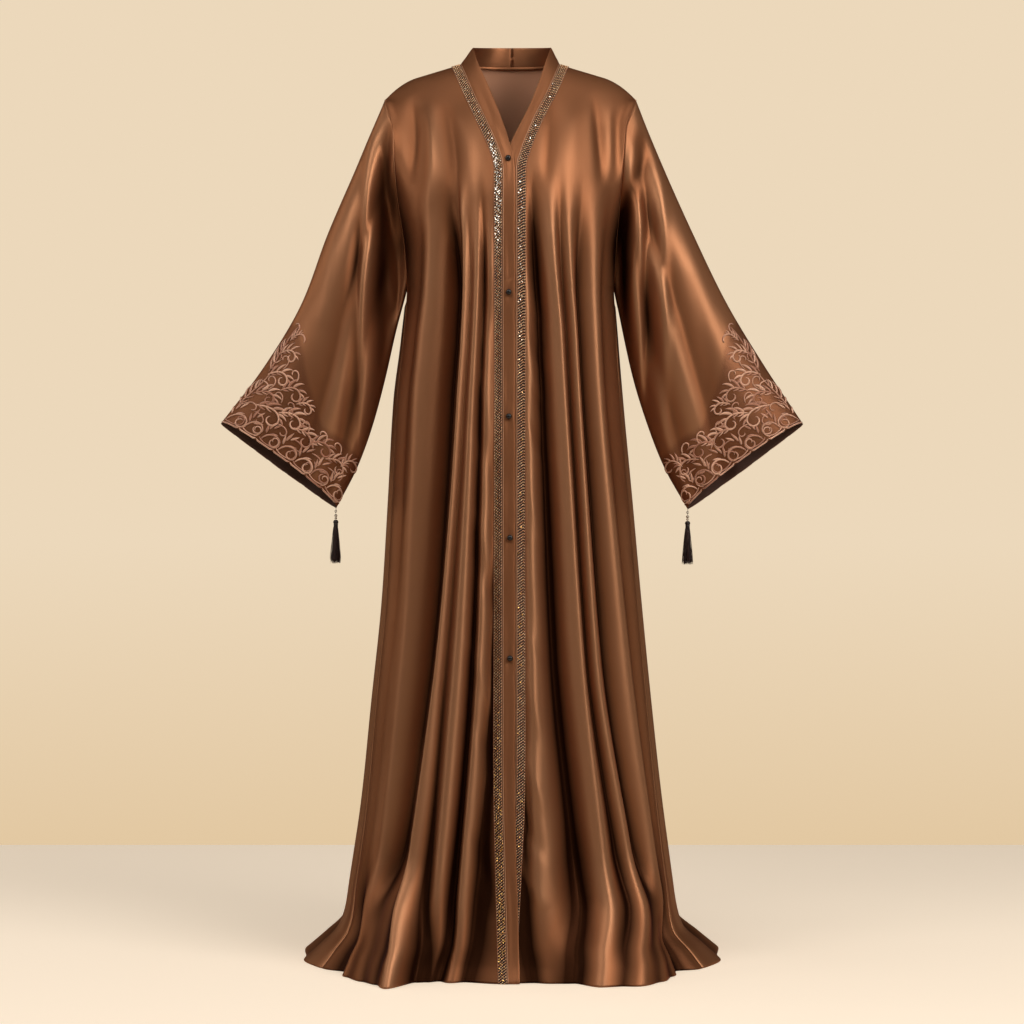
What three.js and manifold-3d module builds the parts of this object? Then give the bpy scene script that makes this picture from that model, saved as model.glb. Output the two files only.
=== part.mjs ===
// Open-front abaya: two fronts that lap at a narrow placket, one back, two wide sleeves, a band that
// runs from the front edges into a low stand collar, two braid trims, five ball buttons and two
// cuff tassels. Millimetres, +Z up, front towards -Y, wearer's right towards -X.
// The origin is the centre of the neck at the height of the shoulder seams.
import * as THREE from 'three';
import { mergeVertices } from 'three/addons/utils/BufferGeometryUtils.js';
import Module from 'manifold-3d';

const wasm = await Module();
wasm.setup();

// ------------------------------------------------------------------ driving sizes
const CLOTH = 2; // wall of every panel
const SEAM_GAP = 0.2; // each piece stops this far short of a shared seam
const REST_GAP = 0.3; // between a piece and what it rests on
const FLOOR_DROP = 1416; // neck point down to the floor the hem spreads on
const SHOULDER_DROP = 52; // neck point down to the shoulder point
const SHOULDER_ROUND = 20.5; // extra drop where the shoulder rounds off
const ROUND_START = 0.57; // share of the shoulder seam where the rounding starts
const UNDERARM_DROP = 355;
const ARMHOLE_STEPS = 8; // stations from shoulder point to underarm
const ARMHOLE_FRONT = 60; // how far the armhole bows to the front
const ARMHOLE_BACK = 66;
const ARMHOLE_REACH = 10; // power that keeps the bow of the armhole close to its edge
const CHEST_RISE = 250; // height over which the fronts round off into the shoulder
const SLOPE_FADE = { height: 240, power: 1.5 }; // how the rows lose the slope of the shoulder
const BACK_SETTLE = 180; // height over which the back's columns reach their even spacing
const LEAST_ROW_STEP = 4; // least drop from one row of the back to the next at the neck
const NECK_BACK = 72; // neck point back to the centre-back neck seam
const NECK_RISE = 5; // neck points above the origin
const NECK_BACK_RISE = 6; // centre back above the neck points
const COLLAR_TOP = { x: 62, front: -4, back: 70, low: 32, high: 45 };
const PLACKET_DROP = 172; // the V ends and the placket starts
const BAND_STANDS = 10; // the band stands as a collar above this drop
const BAND_LIES = 60; // and lies flat on the front below this one
const BAND_WIDTH = 18;
const TRIM_WIDTH = 13;
const TRIM_THICK = 1.2;
const TRIM_INSET = 1.2; // trim edge from the band seam
const TRIM_REACH = TRIM_INSET + TRIM_WIDTH + 1; // column of the front that carries the trim
const LEAST_COLUMN = 2.5; // least width of the next columns
const BUTTON = { radius: 4.5, flat: 0.86, around: 10, down: 7 };
const CUFF_FRONT_LIFT = 14; // front cuff edge above the line between its corners
const CUFF_BACK_DROP = 4;
const SLEEVE_RINGS = 12;

// Neck edge of each front: where the band is sewn on, as a distance from the centre line
const NECKLINE = [
  { drop: -5, right: 82, left: 76 },
  { drop: 45, right: 63, left: 57 },
  { drop: 90, right: 44, left: 36 },
  { drop: 150, right: 19.5, left: 13.5 },
  { drop: 175, right: 13.5, left: 7 },
  { drop: 1100, right: 13.5, left: 6 },
  { drop: 1270, right: 10, left: -1 },
  { drop: 1416, right: 6, left: -9 },
];

// Free edge of the band along the V, by the drop of the seam point beside it
const BAND_EDGE = [
  { drop: -5, right: 62, left: 62, forward: 4, height: 32 },
  { drop: 22, right: 54, left: 53, forward: 36, height: 3 },
  { drop: 51, right: 39, left: 41, forward: 62, height: -34 },
  { drop: 93, right: 21.5, left: 24, forward: 88, height: -80 },
  { drop: 148, right: 1, left: -5, forward: 121, height: -146 },
  { drop: 172, right: -4.5, left: -11, forward: 127, height: -172 },
];

// Sections of the body: half widths, front and back depths, and how square the oval is
const SECTIONS = [
  { drop: -12, right: 204, left: 199, front: 88, back: 96, power: 2.3 },
  { drop: 52, right: 204, left: 199, front: 100, back: 108, power: 2.3 },
  { drop: 100, right: 190, left: 182, front: 118, back: 114, power: 2.3 },
  { drop: 163, right: 187, left: 177, front: 131, back: 116, power: 2.3 },
  { drop: 227, right: 181, left: 172, front: 138, back: 116, power: 2.3 },
  { drop: 291, right: 172, left: 167, front: 140, back: 115, power: 2.3 },
  { drop: 355, right: 169, left: 164, front: 140, back: 114, power: 2.3 },
  { drop: 435, right: 175, left: 168, front: 142, back: 115, power: 2.3 },
  { drop: 531, right: 186, left: 175, front: 146, back: 118, power: 2.3 },
  { drop: 699, right: 195, left: 190, front: 156, back: 132, power: 2.35 },
  { drop: 851, right: 204, left: 203, front: 168, back: 152, power: 2.4 },
  { drop: 1011, right: 220, left: 218, front: 184, back: 178, power: 2.45 },
  { drop: 1171, right: 236, left: 235, front: 205, back: 210, power: 2.5 },
  { drop: 1299, right: 256, left: 253, front: 226, back: 246, power: 2.5 },
  { drop: 1363, right: 272, left: 268, front: 241, back: 272, power: 2.4 },
  { drop: 1392, right: 310, left: 310, front: 252, back: 294, power: 2.3 },
  { drop: 1416, right: 335, left: 336, front: 264, back: 318, power: 2.2 },
];

// The side seam lies a little forward of the widest point, as a share of the quarter's width
const SIDE_SEAM = [
  { drop: 355, share: 1 },
  { drop: 560, share: 0.985 },
  { drop: 850, share: 0.98 },
  { drop: 1290, share: 0.96 },
  { drop: 1363, share: 0.93 },
  { drop: 1416, share: 0.88 },
];

// How far the wearer's right front stands forward where it laps over the left one
const LAP = [
  { drop: 50, lift: 0 },
  { drop: 110, lift: 3.2 },
  { drop: 950, lift: 3.2 },
  { drop: 1180, lift: 6.5 },
  { drop: 1416, lift: 6.5 },
];
const LAP_FADE = 0.34; // share of the half width over which the lift dies away

// Rows of the body panels, as drops along the armhole and the side seam
const ARMHOLE_MIDDLE = (SHOULDER_DROP + UNDERARM_DROP) / 2;
const ARMHOLE_HALF = (UNDERARM_DROP - SHOULDER_DROP) / 2;
const armholeAngle = (step) => (Math.PI * step) / ARMHOLE_STEPS;
const ROWS = [
  ...Array.from({ length: ARMHOLE_STEPS + 1 },
    (_, step) => ARMHOLE_MIDDLE - ARMHOLE_HALF * Math.cos(armholeAngle(step))),
  400, 460, 540, 640, 750, 860, 970, 1080, 1180, 1270, 1335, 1375, 1398, 1409,
  FLOOR_DROP - CLOTH,
];

// Folds of the fronts. Places are shares of the half width at five heights; rises are in mm
// outwards (ridge) or inwards (valley) at the hip, above the hem and on the floor.
const FOLD_LEVELS = { top: -5, bust: 190, hip: 445, knee: 937, hem: 1298, floor: 1416 };
const FOLDS_RIGHT = [
  { name: 'valley_5', top: 0.45, bust: 0.13, hip: 0.13, knee: 0.13, hem: 0.215, floor: 0.24,
    riseHip: 0, riseHem: -12, riseFloor: -6 },
  { name: 'ridge_4', top: 0.5, bust: 0.2, hip: 0.205, knee: 0.262, hem: 0.315, floor: 0.32,
    riseHip: 3, riseHem: 6, riseFloor: 4 },
  { name: 'valley_4', top: 0.55, bust: 0.26, hip: 0.262, knee: 0.32, hem: 0.365, floor: 0.375,
    riseHip: -3, riseHem: -8, riseFloor: -4 },
  { name: 'ridge_3', top: 0.6, bust: 0.33, hip: 0.34, knee: 0.39, hem: 0.44, floor: 0.43,
    riseHip: 6, riseHem: 9, riseFloor: 6 },
  { name: 'valley_3', top: 0.65, bust: 0.42, hip: 0.427, knee: 0.485, hem: 0.52, floor: 0.48,
    riseHip: -3, riseHem: -7, riseFloor: 2 },
  { name: 'ridge_2', top: 0.7, bust: 0.47, hip: 0.47, knee: 0.55, hem: 0.61, floor: 0.57,
    riseHip: 3, riseHem: 11, riseFloor: 78 },
  { name: 'valley_1', top: 0.76, bust: 0.54, hip: 0.56, knee: 0.695, hem: 0.83, floor: 0.7,
    riseHip: -14, riseHem: -20, riseFloor: 48 },
  { name: 'ridge_1b', top: 0.82, bust: 0.62, hip: 0.665, knee: 0.8, hem: 0.9, floor: 0.8,
    riseHip: 5, riseHem: -14, riseFloor: 22 },
  { name: 'valley_1b', top: 0.87, bust: 0.68, hip: 0.735, knee: 0.86, hem: 0.935, floor: 0.88,
    riseHip: -3, riseHem: -5, riseFloor: -10 },
  { name: 'ridge_1', top: 0.92, bust: 0.75, hip: 0.8, knee: 0.93, hem: 0.96, floor: 0.93,
    riseHip: 7, riseHem: 5, riseFloor: -8 },
  { name: 'valley_0', top: 0.96, bust: 0.9, hip: 0.92, knee: 0.97, hem: 0.98, floor: 0.97,
    riseHip: -5, riseHem: 0, riseFloor: -3 },
];
const FOLDS_LEFT = [
  { name: 'valley_a', top: 0.45, bust: 0.115, hip: 0.12, knee: 0.115, hem: 0.12, floor: 0.11,
    riseHip: -1, riseHem: -7, riseFloor: -3 },
  { name: 'ridge_a', top: 0.5, bust: 0.16, hip: 0.16, knee: 0.16, hem: 0.19, floor: 0.2,
    riseHip: 3, riseHem: 8, riseFloor: 5 },
  { name: 'valley_b', top: 0.56, bust: 0.24, hip: 0.28, knee: 0.336, hem: 0.43, floor: 0.31,
    riseHip: -14, riseHem: -20, riseFloor: 8 },
  { name: 'ridge_b', top: 0.62, bust: 0.42, hip: 0.46, knee: 0.505, hem: 0.57, floor: 0.42,
    riseHip: 8, riseHem: 11, riseFloor: 44 },
  { name: 'valley_c', top: 0.67, bust: 0.485, hip: 0.526, knee: 0.587, hem: 0.65, floor: 0.5,
    riseHip: -3, riseHem: -7, riseFloor: 44 },
  { name: 'ridge_c', top: 0.72, bust: 0.54, hip: 0.59, knee: 0.645, hem: 0.74, floor: 0.58,
    riseHip: 6, riseHem: 5, riseFloor: 58 },
  { name: 'valley_d', top: 0.77, bust: 0.6, hip: 0.678, knee: 0.75, hem: 0.86, floor: 0.7,
    riseHip: -6, riseHem: -12, riseFloor: 40 },
  { name: 'ridge_d', top: 0.82, bust: 0.67, hip: 0.77, knee: 0.86, hem: 0.915, floor: 0.8,
    riseHip: 6, riseHem: 8, riseFloor: 12 },
  { name: 'valley_e', top: 0.87, bust: 0.74, hip: 0.865, knee: 0.92, hem: 0.95, floor: 0.88,
    riseHip: -5, riseHem: -3, riseFloor: -18 },
  { name: 'ridge_e', top: 0.94, bust: 0.85, hip: 0.93, knee: 0.96, hem: 0.98, floor: 0.95,
    riseHip: 3, riseHem: 2, riseFloor: -10 },
];
// Folds of the back: place is the share of the turn from centre back (0) to the side seam (1)
const FOLDS_BACK_RIGHT = [
  { place: 0, riseHip: 5, riseHem: 10, riseFloor: 10 },
  { place: 0.12, riseHip: -8, riseHem: -16, riseFloor: -10 },
  { place: 0.23, riseHip: 6, riseHem: 12, riseFloor: 18 },
  { place: 0.35, riseHip: -6, riseHem: -12, riseFloor: -6 },
  { place: 0.46, riseHip: 8, riseHem: 14, riseFloor: 12 },
  { place: 0.57, riseHip: -9, riseHem: -16, riseFloor: -12 },
  { place: 0.68, riseHip: 5, riseHem: 8, riseFloor: 2 },
  { place: 0.79, riseHip: -5, riseHem: -9, riseFloor: -6 },
  { place: 0.88, riseHip: 4, riseHem: 5, riseFloor: 2 },
  { place: 0.95, riseHip: -2, riseHem: -2, riseFloor: 0 },
  { place: 1, riseHip: 0, riseHem: 0, riseFloor: 0 },
];
const FOLDS_BACK_LEFT = [
  { place: 0, riseHip: 5, riseHem: 10, riseFloor: 10 },
  { place: 0.1, riseHip: -7, riseHem: -13, riseFloor: -8 },
  { place: 0.2, riseHip: 7, riseHem: 13, riseFloor: 20 },
  { place: 0.33, riseHip: -9, riseHem: -17, riseFloor: -10 },
  { place: 0.45, riseHip: 6, riseHem: 12, riseFloor: 12 },
  { place: 0.55, riseHip: -5, riseHem: -10, riseFloor: -4 },
  { place: 0.66, riseHip: 8, riseHem: 9, riseFloor: 3 },
  { place: 0.78, riseHip: -7, riseHem: -12, riseFloor: -8 },
  { place: 0.88, riseHip: 3, riseHem: 5, riseFloor: 2 },
  { place: 0.95, riseHip: -2, riseHem: -2, riseFloor: 0 },
  { place: 1, riseHip: 0, riseHem: 0, riseFloor: 0 },
];
const FOLD_START = 190; // folds spring from the bust
const FOLD_RAMP = 110;

// Sleeves: outer (top) edge, inner (low) edge and depths at shares of the way to the cuff
const SLEEVES = {
  right: [
    { along: 0, topX: 204, topDrop: 52, lowX: 169, lowDrop: 355, front: 60, back: 66 },
    { along: 0.1, topX: 227, topDrop: 107, lowX: 178, lowDrop: 391, front: 62, back: 67 },
    { along: 0.2, topX: 249, topDrop: 160, lowX: 187, lowDrop: 427, front: 62, back: 66 },
    { along: 0.4, topX: 295, topDrop: 267, lowX: 203, lowDrop: 498, front: 60, back: 62 },
    { along: 0.6, topX: 336, topDrop: 376, lowX: 222, lowDrop: 569, front: 54, back: 56 },
    { along: 0.8, topX: 396, topDrop: 477, lowX: 247, lowDrop: 638, front: 46, back: 48 },
    { along: 1, topX: 466, topDrop: 569, lowX: 281, lowDrop: 704, front: 36, back: 38 },
  ],
  left: [
    { along: 0, topX: 199, topDrop: 52, lowX: 164, lowDrop: 355, front: 60, back: 66 },
    { along: 0.1, topX: 220, topDrop: 107, lowX: 171, lowDrop: 391, front: 62, back: 67 },
    { along: 0.2, topX: 242, topDrop: 160, lowX: 178, lowDrop: 427, front: 62, back: 66 },
    { along: 0.4, topX: 290, topDrop: 267, lowX: 194, lowDrop: 498, front: 60, back: 62 },
    { along: 0.6, topX: 343, topDrop: 376, lowX: 216, lowDrop: 569, front: 54, back: 56 },
    { along: 0.8, topX: 404, topDrop: 477, lowX: 243, lowDrop: 638, front: 46, back: 48 },
    { along: 1, topX: 466, topDrop: 570, lowX: 281, lowDrop: 706, front: 36, back: 38 },
  ],
};
// Long folds of a sleeve: places run from the outer edge (0) to the inner edge (1)
const SLEEVE_FOLDS_FRONT = [
  { head: 0, elbow: 0, cuff: 0, rise: 0 },
  { head: 0.16, elbow: 0.18, cuff: 0.24, rise: 5 },
  { head: 0.32, elbow: 0.42, cuff: 0.64, rise: -11 },
  { head: 0.42, elbow: 0.56, cuff: 0.76, rise: 6 },
  { head: 0.58, elbow: 0.74, cuff: 0.88, rise: -10 },
  { head: 0.78, elbow: 0.88, cuff: 0.95, rise: 3 },
  { head: 1, elbow: 1, cuff: 1, rise: 0 },
];
const SLEEVE_FOLDS_BACK = [
  { head: 0, elbow: 0, cuff: 0, rise: 0 },
  { head: 0.2, elbow: 0.22, cuff: 0.28, rise: 6 },
  { head: 0.38, elbow: 0.46, cuff: 0.54, rise: -9 },
  { head: 0.54, elbow: 0.6, cuff: 0.68, rise: 6 },
  { head: 0.72, elbow: 0.78, cuff: 0.84, rise: -8 },
  { head: 1, elbow: 1, cuff: 1, rise: 0 },
];
const SLEEVE_POWER = 2.3;
const SLEEVE_SWELL = { from: 0.25, easeAt: 0.6, atCuff: 0.75 }; // where the sleeve folds grow and ease
const CUFF_HANG_START = 0.7;
const EDGE_CALM = 1.6; // keeps the folds off the sleeve's outer and inner edges

// Ball buttons on the placket: place across it and drop of each
const BUTTONS = [
  { x: -6, drop: 162 },
  { x: -5, drop: 371 },
  { x: -4.8, drop: 563 },
  { x: -3, drop: 750 },
  { x: -3, drop: 934 },
];

// Cuff tassels, hung from the inner corner of each cuff
const TASSELS = [
  { side: 'right', x: -282, drop: 704 },
  { side: 'left', x: 281, drop: 706 },
];
const HANGER = { gap: 3.2, length: 6, radius: 0.8 };
const BEAD = { radius: 4, height: 9 };
const TASSEL_HEAD = { radius: 4.4, height: 8 };
const STRANDS = { rings: [6, 12, 18], rootStep: 1.25, endStep: 2.9, length: 64, radius: 0.42 };

// Colours read as the cloth in even light
const FINISH = {
  satin: new THREE.MeshStandardMaterial({ color: 0x8c5a3e, roughness: 0.42, metalness: 0 }),
  braid: new THREE.MeshStandardMaterial({ color: 0xa8784a, roughness: 0.35, metalness: 0.5 }),
  button: new THREE.MeshStandardMaterial({ color: 0x1c0f0b, roughness: 0.15, metalness: 0.1 }),
  metal: new THREE.MeshStandardMaterial({ color: 0xc9c2b8, roughness: 0.25, metalness: 0.9 }),
  floss: new THREE.MeshStandardMaterial({ color: 0x2c1310, roughness: 0.6, metalness: 0 }),
};

// ------------------------------------------------------------------ small mathematics
const mix = (from, to, share) => from + (to - from) * share;
const clamp01 = (value) => Math.min(1, Math.max(0, value));
const ease = (value) => clamp01(value) ** 2 * (3 - 2 * clamp01(value));
const signOf = (side) => (side === 'right' ? -1 : 1);

// Monotone cubic through one column of a table, so that sections blend without overshoot
function readTable(table, key, column, at) {
  const last = table.length - 1;
  if (at <= table[0][key]) return table[0][column];
  if (at >= table[last][key]) return table[last][column];
  const slope = (row) => (table[row + 1][column] - table[row][column])
    / (table[row + 1][key] - table[row][key]);
  const tangent = (row) => {
    if (row === 0) return slope(0);
    if (row === last) return slope(last - 1);
    const before = slope(row - 1);
    const after = slope(row);
    return before * after <= 0 ? 0 : (2 * before * after) / (before + after);
  };
  let row = 0;
  while (at > table[row + 1][key]) row += 1;
  const span = table[row + 1][key] - table[row][key];
  const share = (at - table[row][key]) / span;
  const square = share * share;
  const cube = square * share;
  return (2 * cube - 3 * square + 1) * table[row][column]
    + (cube - 2 * square + share) * span * tangent(row)
    + (3 * square - 2 * cube) * table[row + 1][column]
    + (cube - square) * span * tangent(row + 1);
}
const section = (column, drop) => readTable(SECTIONS, 'drop', column, drop);

// Height lost along the shoulder seam from the neck outwards, with the rounded shoulder end
function crestDrop(side, x) {
  const neck = NECKLINE[0][side];
  const run = (Math.abs(x) - neck) / (SECTIONS[1][side] - neck);
  const rounding = Math.max(0, (run - ROUND_START) / (1 - ROUND_START)) ** 2;
  return -NECK_RISE + (SHOULDER_DROP + NECK_RISE - SHOULDER_ROUND) * run + SHOULDER_ROUND * rounding;
}

// ------------------------------------------------------------------ body surface
// Rise of a fold field at one place: cosine blends between neighbouring ridges and valleys
function blendRise(places, rises, at) {
  let index = 0;
  while (index < places.length - 2 && at > places[index + 1]) index += 1;
  const share = clamp01((at - places[index]) / (places[index + 1] - places[index]));
  return mix(rises[index], rises[index + 1], (1 - Math.cos(Math.PI * share)) / 2);
}
function riseAt(fold, drop) {
  const { hip, hem, floor } = FOLD_LEVELS;
  if (drop <= hip) return fold.riseHip * ease((drop - FOLD_START) / FOLD_RAMP);
  if (drop <= hem) return mix(fold.riseHip, fold.riseHem, (drop - hip) / (hem - hip));
  return mix(fold.riseHem, fold.riseFloor, ease((drop - hem) / (floor - hem)));
}
function foldPlace(fold, drop) {
  const levels = Object.entries(FOLD_LEVELS).map(([name, at]) => ({ at, place: fold[name] }));
  return readTable(levels, 'at', 'place', drop);
}
const frontFolds = { right: FOLDS_RIGHT, left: FOLDS_LEFT };
const backFolds = { right: FOLDS_BACK_RIGHT, left: FOLDS_BACK_LEFT };

// Depth of the armhole edge at a drop, on the front (-1) or back (+1) face
function armholeDepth(face, drop) {
  const across = clamp01(1 - ((drop - ARMHOLE_MIDDLE) / ARMHOLE_HALF) ** 2);
  const bow = face < 0 ? ARMHOLE_FRONT : ARMHOLE_BACK;
  return drop <= SHOULDER_DROP || drop >= UNDERARM_DROP ? 0 : bow * across ** (1 / SLEEVE_POWER);
}

// A point of the body, at an angle from centre front (0) by the side (90 degrees) to centre back
function bodyPoint(side, angle, drop) {
  const power = section('power', drop);
  const width = section(side, drop);
  const face = angle <= Math.PI / 2 ? -1 : 1;
  const across = Math.abs(Math.sin(angle)) ** (2 / power);
  const deep = Math.abs(Math.cos(angle)) ** (2 / power);
  const x = across * width * Math.sign(angle === 0 ? 1 : Math.sin(angle));
  const neck = readTable(NECKLINE, 'drop', side, -5);
  let startDepth = 0;
  let startDrop = crestDrop(side, x);
  if (face > 0 && Math.abs(x) < neck) {
    startDepth = NECK_BACK * Math.sqrt(1 - (x / neck) ** 2);
    startDrop = -NECK_RISE - NECK_BACK_RISE * (startDepth / NECK_BACK);
  }
  const fall = clamp01((drop - startDrop) / CHEST_RISE);
  const round = Math.sqrt(1 - (1 - fall) ** 2);
  const full = section(face < 0 ? 'front' : 'back', drop);
  const middle = startDepth + (full - startDepth) * round;
  const bow = armholeDepth(face, drop) * across ** ARMHOLE_REACH * (1 - deep);
  const depth = middle * deep + bow;
  const point = new THREE.Vector3(signOf(side) * x, face * depth, -drop);
  const outward = new THREE.Vector3(
    (signOf(side) * Math.sign(x || 1) * across ** (power - 1)) / width,
    (face * deep ** (power - 1)) / full, 0).normalize();
  return point.addScaledVector(outward, bodyRise(side, angle, across, face, drop));
}
function seamAngle(side, drop) {
  return shareToAngle(readTable(SIDE_SEAM, 'drop', 'share', drop), drop);
}
function shareToAngle(share, drop) {
  return Math.asin(clamp01(share) ** (section('power', drop) / 2));
}
function bodyRise(side, angle, across, face, drop) {
  const seam = seamAngle(side, drop);
  const lap = side === 'right' && face < 0
    ? readTable(LAP, 'drop', 'lift', drop) * (1 - ease(across / LAP_FADE)) : 0;
  if (drop <= FOLD_START) return lap;
  if (angle <= seam) {
    const folds = frontFolds[side];
    const share = readTable(SIDE_SEAM, 'drop', 'share', drop);
    const edge = readTable(NECKLINE, 'drop', side, drop) / section(side, drop);
    const places = [edge, ...folds.map((fold) => foldPlace(fold, drop) * share), share];
    const rises = [0, ...folds.map((fold) => riseAt(fold, drop)), 0];
    return lap + blendRise(places, rises, across);
  }
  const folds = backFolds[side];
  const turn = (Math.PI - angle) / (Math.PI - seam);
  return lap + blendRise(folds.map((fold) => fold.place), folds.map((fold) => riseAt(fold, drop)),
    turn);
}
// Outward normal from small steps over the surface
function surfaceNormal(surface, u, v, stepU, stepV) {
  const alongU = surface(u + stepU, v).sub(surface(u - stepU, v));
  const alongV = surface(u, v + stepV).sub(surface(u, v - stepV));
  return alongU.cross(alongV).normalize();
}
function bodyNormal(side, angle, drop) {
  const at = Math.min(Math.max(angle, 0.02), Math.PI - 0.02);
  const normal = surfaceNormal((u, v) => bodyPoint(side, u, v), at, drop, 0.012, 1.5);
  return side === 'right' ? normal : normal.negate();
}

// ------------------------------------------------------------------ walls from grids
// A grid is rows of { outer, normal }; wall() gives it thickness and closes its edges
const node = (outer, normal) => ({ outer: outer.clone(), normal: normal.clone().normalize() });

function pullBack(grid, picks, gap = SEAM_GAP) {
  for (const [point, neighbour] of picks(grid)) {
    const inward = neighbour.outer.clone().sub(point.outer).normalize();
    point.shift = (point.shift ?? new THREE.Vector3()).addScaledVector(inward, gap);
  }
}
const firstRow = (grid) => grid[0].map((point, i) => [point, grid[1][i]]);
const firstColumn = (grid) => grid.map((row) => [row[0], row[1]]);
const lastColumn = (grid) => grid.map((row) => [row[row.length - 1], row[row.length - 2]]);

function wall(grid, { thick = CLOTH, lift = 0, closed = false } = {}) {
  const rows = grid.length;
  const cols = grid[0].length;
  const positions = [];
  for (const depth of [lift, lift - thick]) {
    for (const row of grid) {
      for (const point of row) {
        const place = point.outer.clone().add(point.shift ?? new THREE.Vector3());
        place.addScaledVector(point.normal, depth);
        positions.push(place.x, place.y, place.z);
      }
    }
  }
  const outer = (r, c) => r * cols + (closed ? c % cols : c);
  const inner = (r, c) => rows * cols + outer(r, c);
  const faces = [];
  const quad = (a, b, c, d) => faces.push(a, b, c, a, c, d);
  const spans = closed ? cols : cols - 1;
  for (let r = 0; r < rows - 1; r += 1) {
    for (let c = 0; c < spans; c += 1) {
      quad(outer(r, c), outer(r + 1, c), outer(r + 1, c + 1), outer(r, c + 1));
      quad(inner(r, c), inner(r, c + 1), inner(r + 1, c + 1), inner(r + 1, c));
    }
  }
  for (let c = 0; c < spans; c += 1) {
    quad(outer(0, c), outer(0, c + 1), inner(0, c + 1), inner(0, c));
    quad(outer(rows - 1, c + 1), outer(rows - 1, c), inner(rows - 1, c), inner(rows - 1, c + 1));
  }
  if (!closed) {
    for (let r = 0; r < rows - 1; r += 1) {
      quad(outer(r + 1, 0), outer(r, 0), inner(r, 0), inner(r + 1, 0));
      quad(outer(r + 1, cols - 1), inner(r + 1, cols - 1), inner(r, cols - 1), outer(r, cols - 1));
    }
  }
  const geometry = new THREE.BufferGeometry();
  geometry.setAttribute('position', new THREE.Float32BufferAttribute(positions, 3));
  geometry.setIndex(faces);
  return facingOut(geometry);
}
// Turns a closed mesh the right way out when its signed volume comes out negative
function facingOut(geometry) {
  const place = geometry.getAttribute('position');
  const index = geometry.getIndex().array;
  const corner = (i) => new THREE.Vector3().fromBufferAttribute(place, index[i]);
  let volume = 0;
  for (let i = 0; i < index.length; i += 3) {
    volume += corner(i).dot(corner(i + 1).cross(corner(i + 2)));
  }
  if (volume < 0) {
    for (let i = 0; i < index.length; i += 3) [index[i], index[i + 1]] = [index[i + 1], index[i]];
  }
  geometry.computeVertexNormals();
  return geometry;
}

// ------------------------------------------------------------------ panels
// Direction from the armhole's middle out to its edge; all pieces at that seam share it
function armholeOutward(face, drop) {
  const angle = Math.acos(Math.min(1, Math.max(-1, (ARMHOLE_MIDDLE - drop) / ARMHOLE_HALF)));
  return new THREE.Vector3(0, face * Math.sin(angle), Math.cos(angle));
}
function armholeNode(side, face, drop) {
  const spot = new THREE.Vector3(signOf(side) * section(side, drop),
    face * armholeDepth(face, drop), -drop);
  return node(spot, armholeOutward(face, drop));
}
const crestNormal = (side, x) => {
  const step = 1;
  const run = Math.abs(x);
  const fall = (crestDrop(side, run + step) - crestDrop(side, run - step)) / (2 * step);
  return new THREE.Vector3(signOf(side) * fall, 0, 1).normalize();
};
const slopeFade = (drop) => clamp01(1 - (drop - SHOULDER_DROP) / SLOPE_FADE.height)
  ** SLOPE_FADE.power;

// Drop of a point at x in the row that meets the side edge at sideDrop
function rowDrop(side, x, sideDrop) {
  const edge = section(side, sideDrop);
  return sideDrop - (crestDrop(side, edge) - crestDrop(side, x)) * slopeFade(sideDrop);
}
// Where a row of a front meets the band seam
function frontEdge(side, sideDrop) {
  let x = readTable(NECKLINE, 'drop', side, sideDrop);
  for (let pass = 0; pass < 12; pass += 1) {
    x = readTable(NECKLINE, 'drop', side, rowDrop(side, Math.abs(x), sideDrop));
  }
  return x;
}
function frontColumns(side, sideDrop) {
  const width = section(side, sideDrop);
  const seam = readTable(SIDE_SEAM, 'drop', 'share', sideDrop);
  const edge = frontEdge(side, sideDrop);
  const trimmed = edge + TRIM_REACH;
  const stations = [...frontFolds[side].map((fold) => foldPlace(fold, sideDrop) * seam * width),
    seam * width];
  const columns = [edge, trimmed];
  let before = trimmed;
  for (const station of stations) {
    const next = Math.max(station, before + LEAST_COLUMN);
    columns.push((before + next) / 2, next);
    before = next;
  }
  return columns;
}
function frontGrid(side) {
  return ROWS.map((sideDrop, row) => frontColumns(side, sideDrop).map((x, column, all) => {
    const drop = rowDrop(side, x, sideDrop);
    const angle = shareToAngle(Math.abs(x) / section(side, drop), drop) * Math.sign(x || 1);
    const point = bodyPoint(side, angle, drop);
    if (column === all.length - 1 && row <= ARMHOLE_STEPS) return armholeNode(side, -1, sideDrop);
    let normal = bodyNormal(side, Math.abs(angle), drop);
    if (row === 0) normal = crestNormal(side, x);
    if (row === ROWS.length - 1) normal = new THREE.Vector3(0, 0, 1);
    return node(point, normal);
  }));
}

// Columns of half the back: angle share from centre back, with its place on the top edge
const NECK_COLUMNS = 4;
const BACK_COLUMNS = (side) => {
  const places = backFolds[side].map((fold) => fold.place);
  const columns = [];
  places.forEach((place, i) => {
    if (i) columns.push((places[i - 1] + place) / 2);
    columns.push(place);
  });
  return columns;
};
function backTopPoint(side, column, count) {
  const neck = readTable(NECKLINE, 'drop', side, -5);
  if (column <= NECK_COLUMNS) {
    const turn = (Math.PI / 2) * (1 - column / NECK_COLUMNS);
    return { x: neck * Math.cos(turn), y: NECK_BACK * Math.sin(turn),
      drop: -NECK_RISE - NECK_BACK_RISE * Math.sin(turn), turn };
  }
  const x = mix(neck, section(side, SHOULDER_DROP), (column - NECK_COLUMNS) / (count - NECK_COLUMNS));
  return { x, y: 0, drop: crestDrop(side, x) };
}
const neckNormal = (side, turn) => new THREE.Vector3(
  signOf(side) * Math.cos(turn), Math.sin(turn), 1).normalize();

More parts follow.
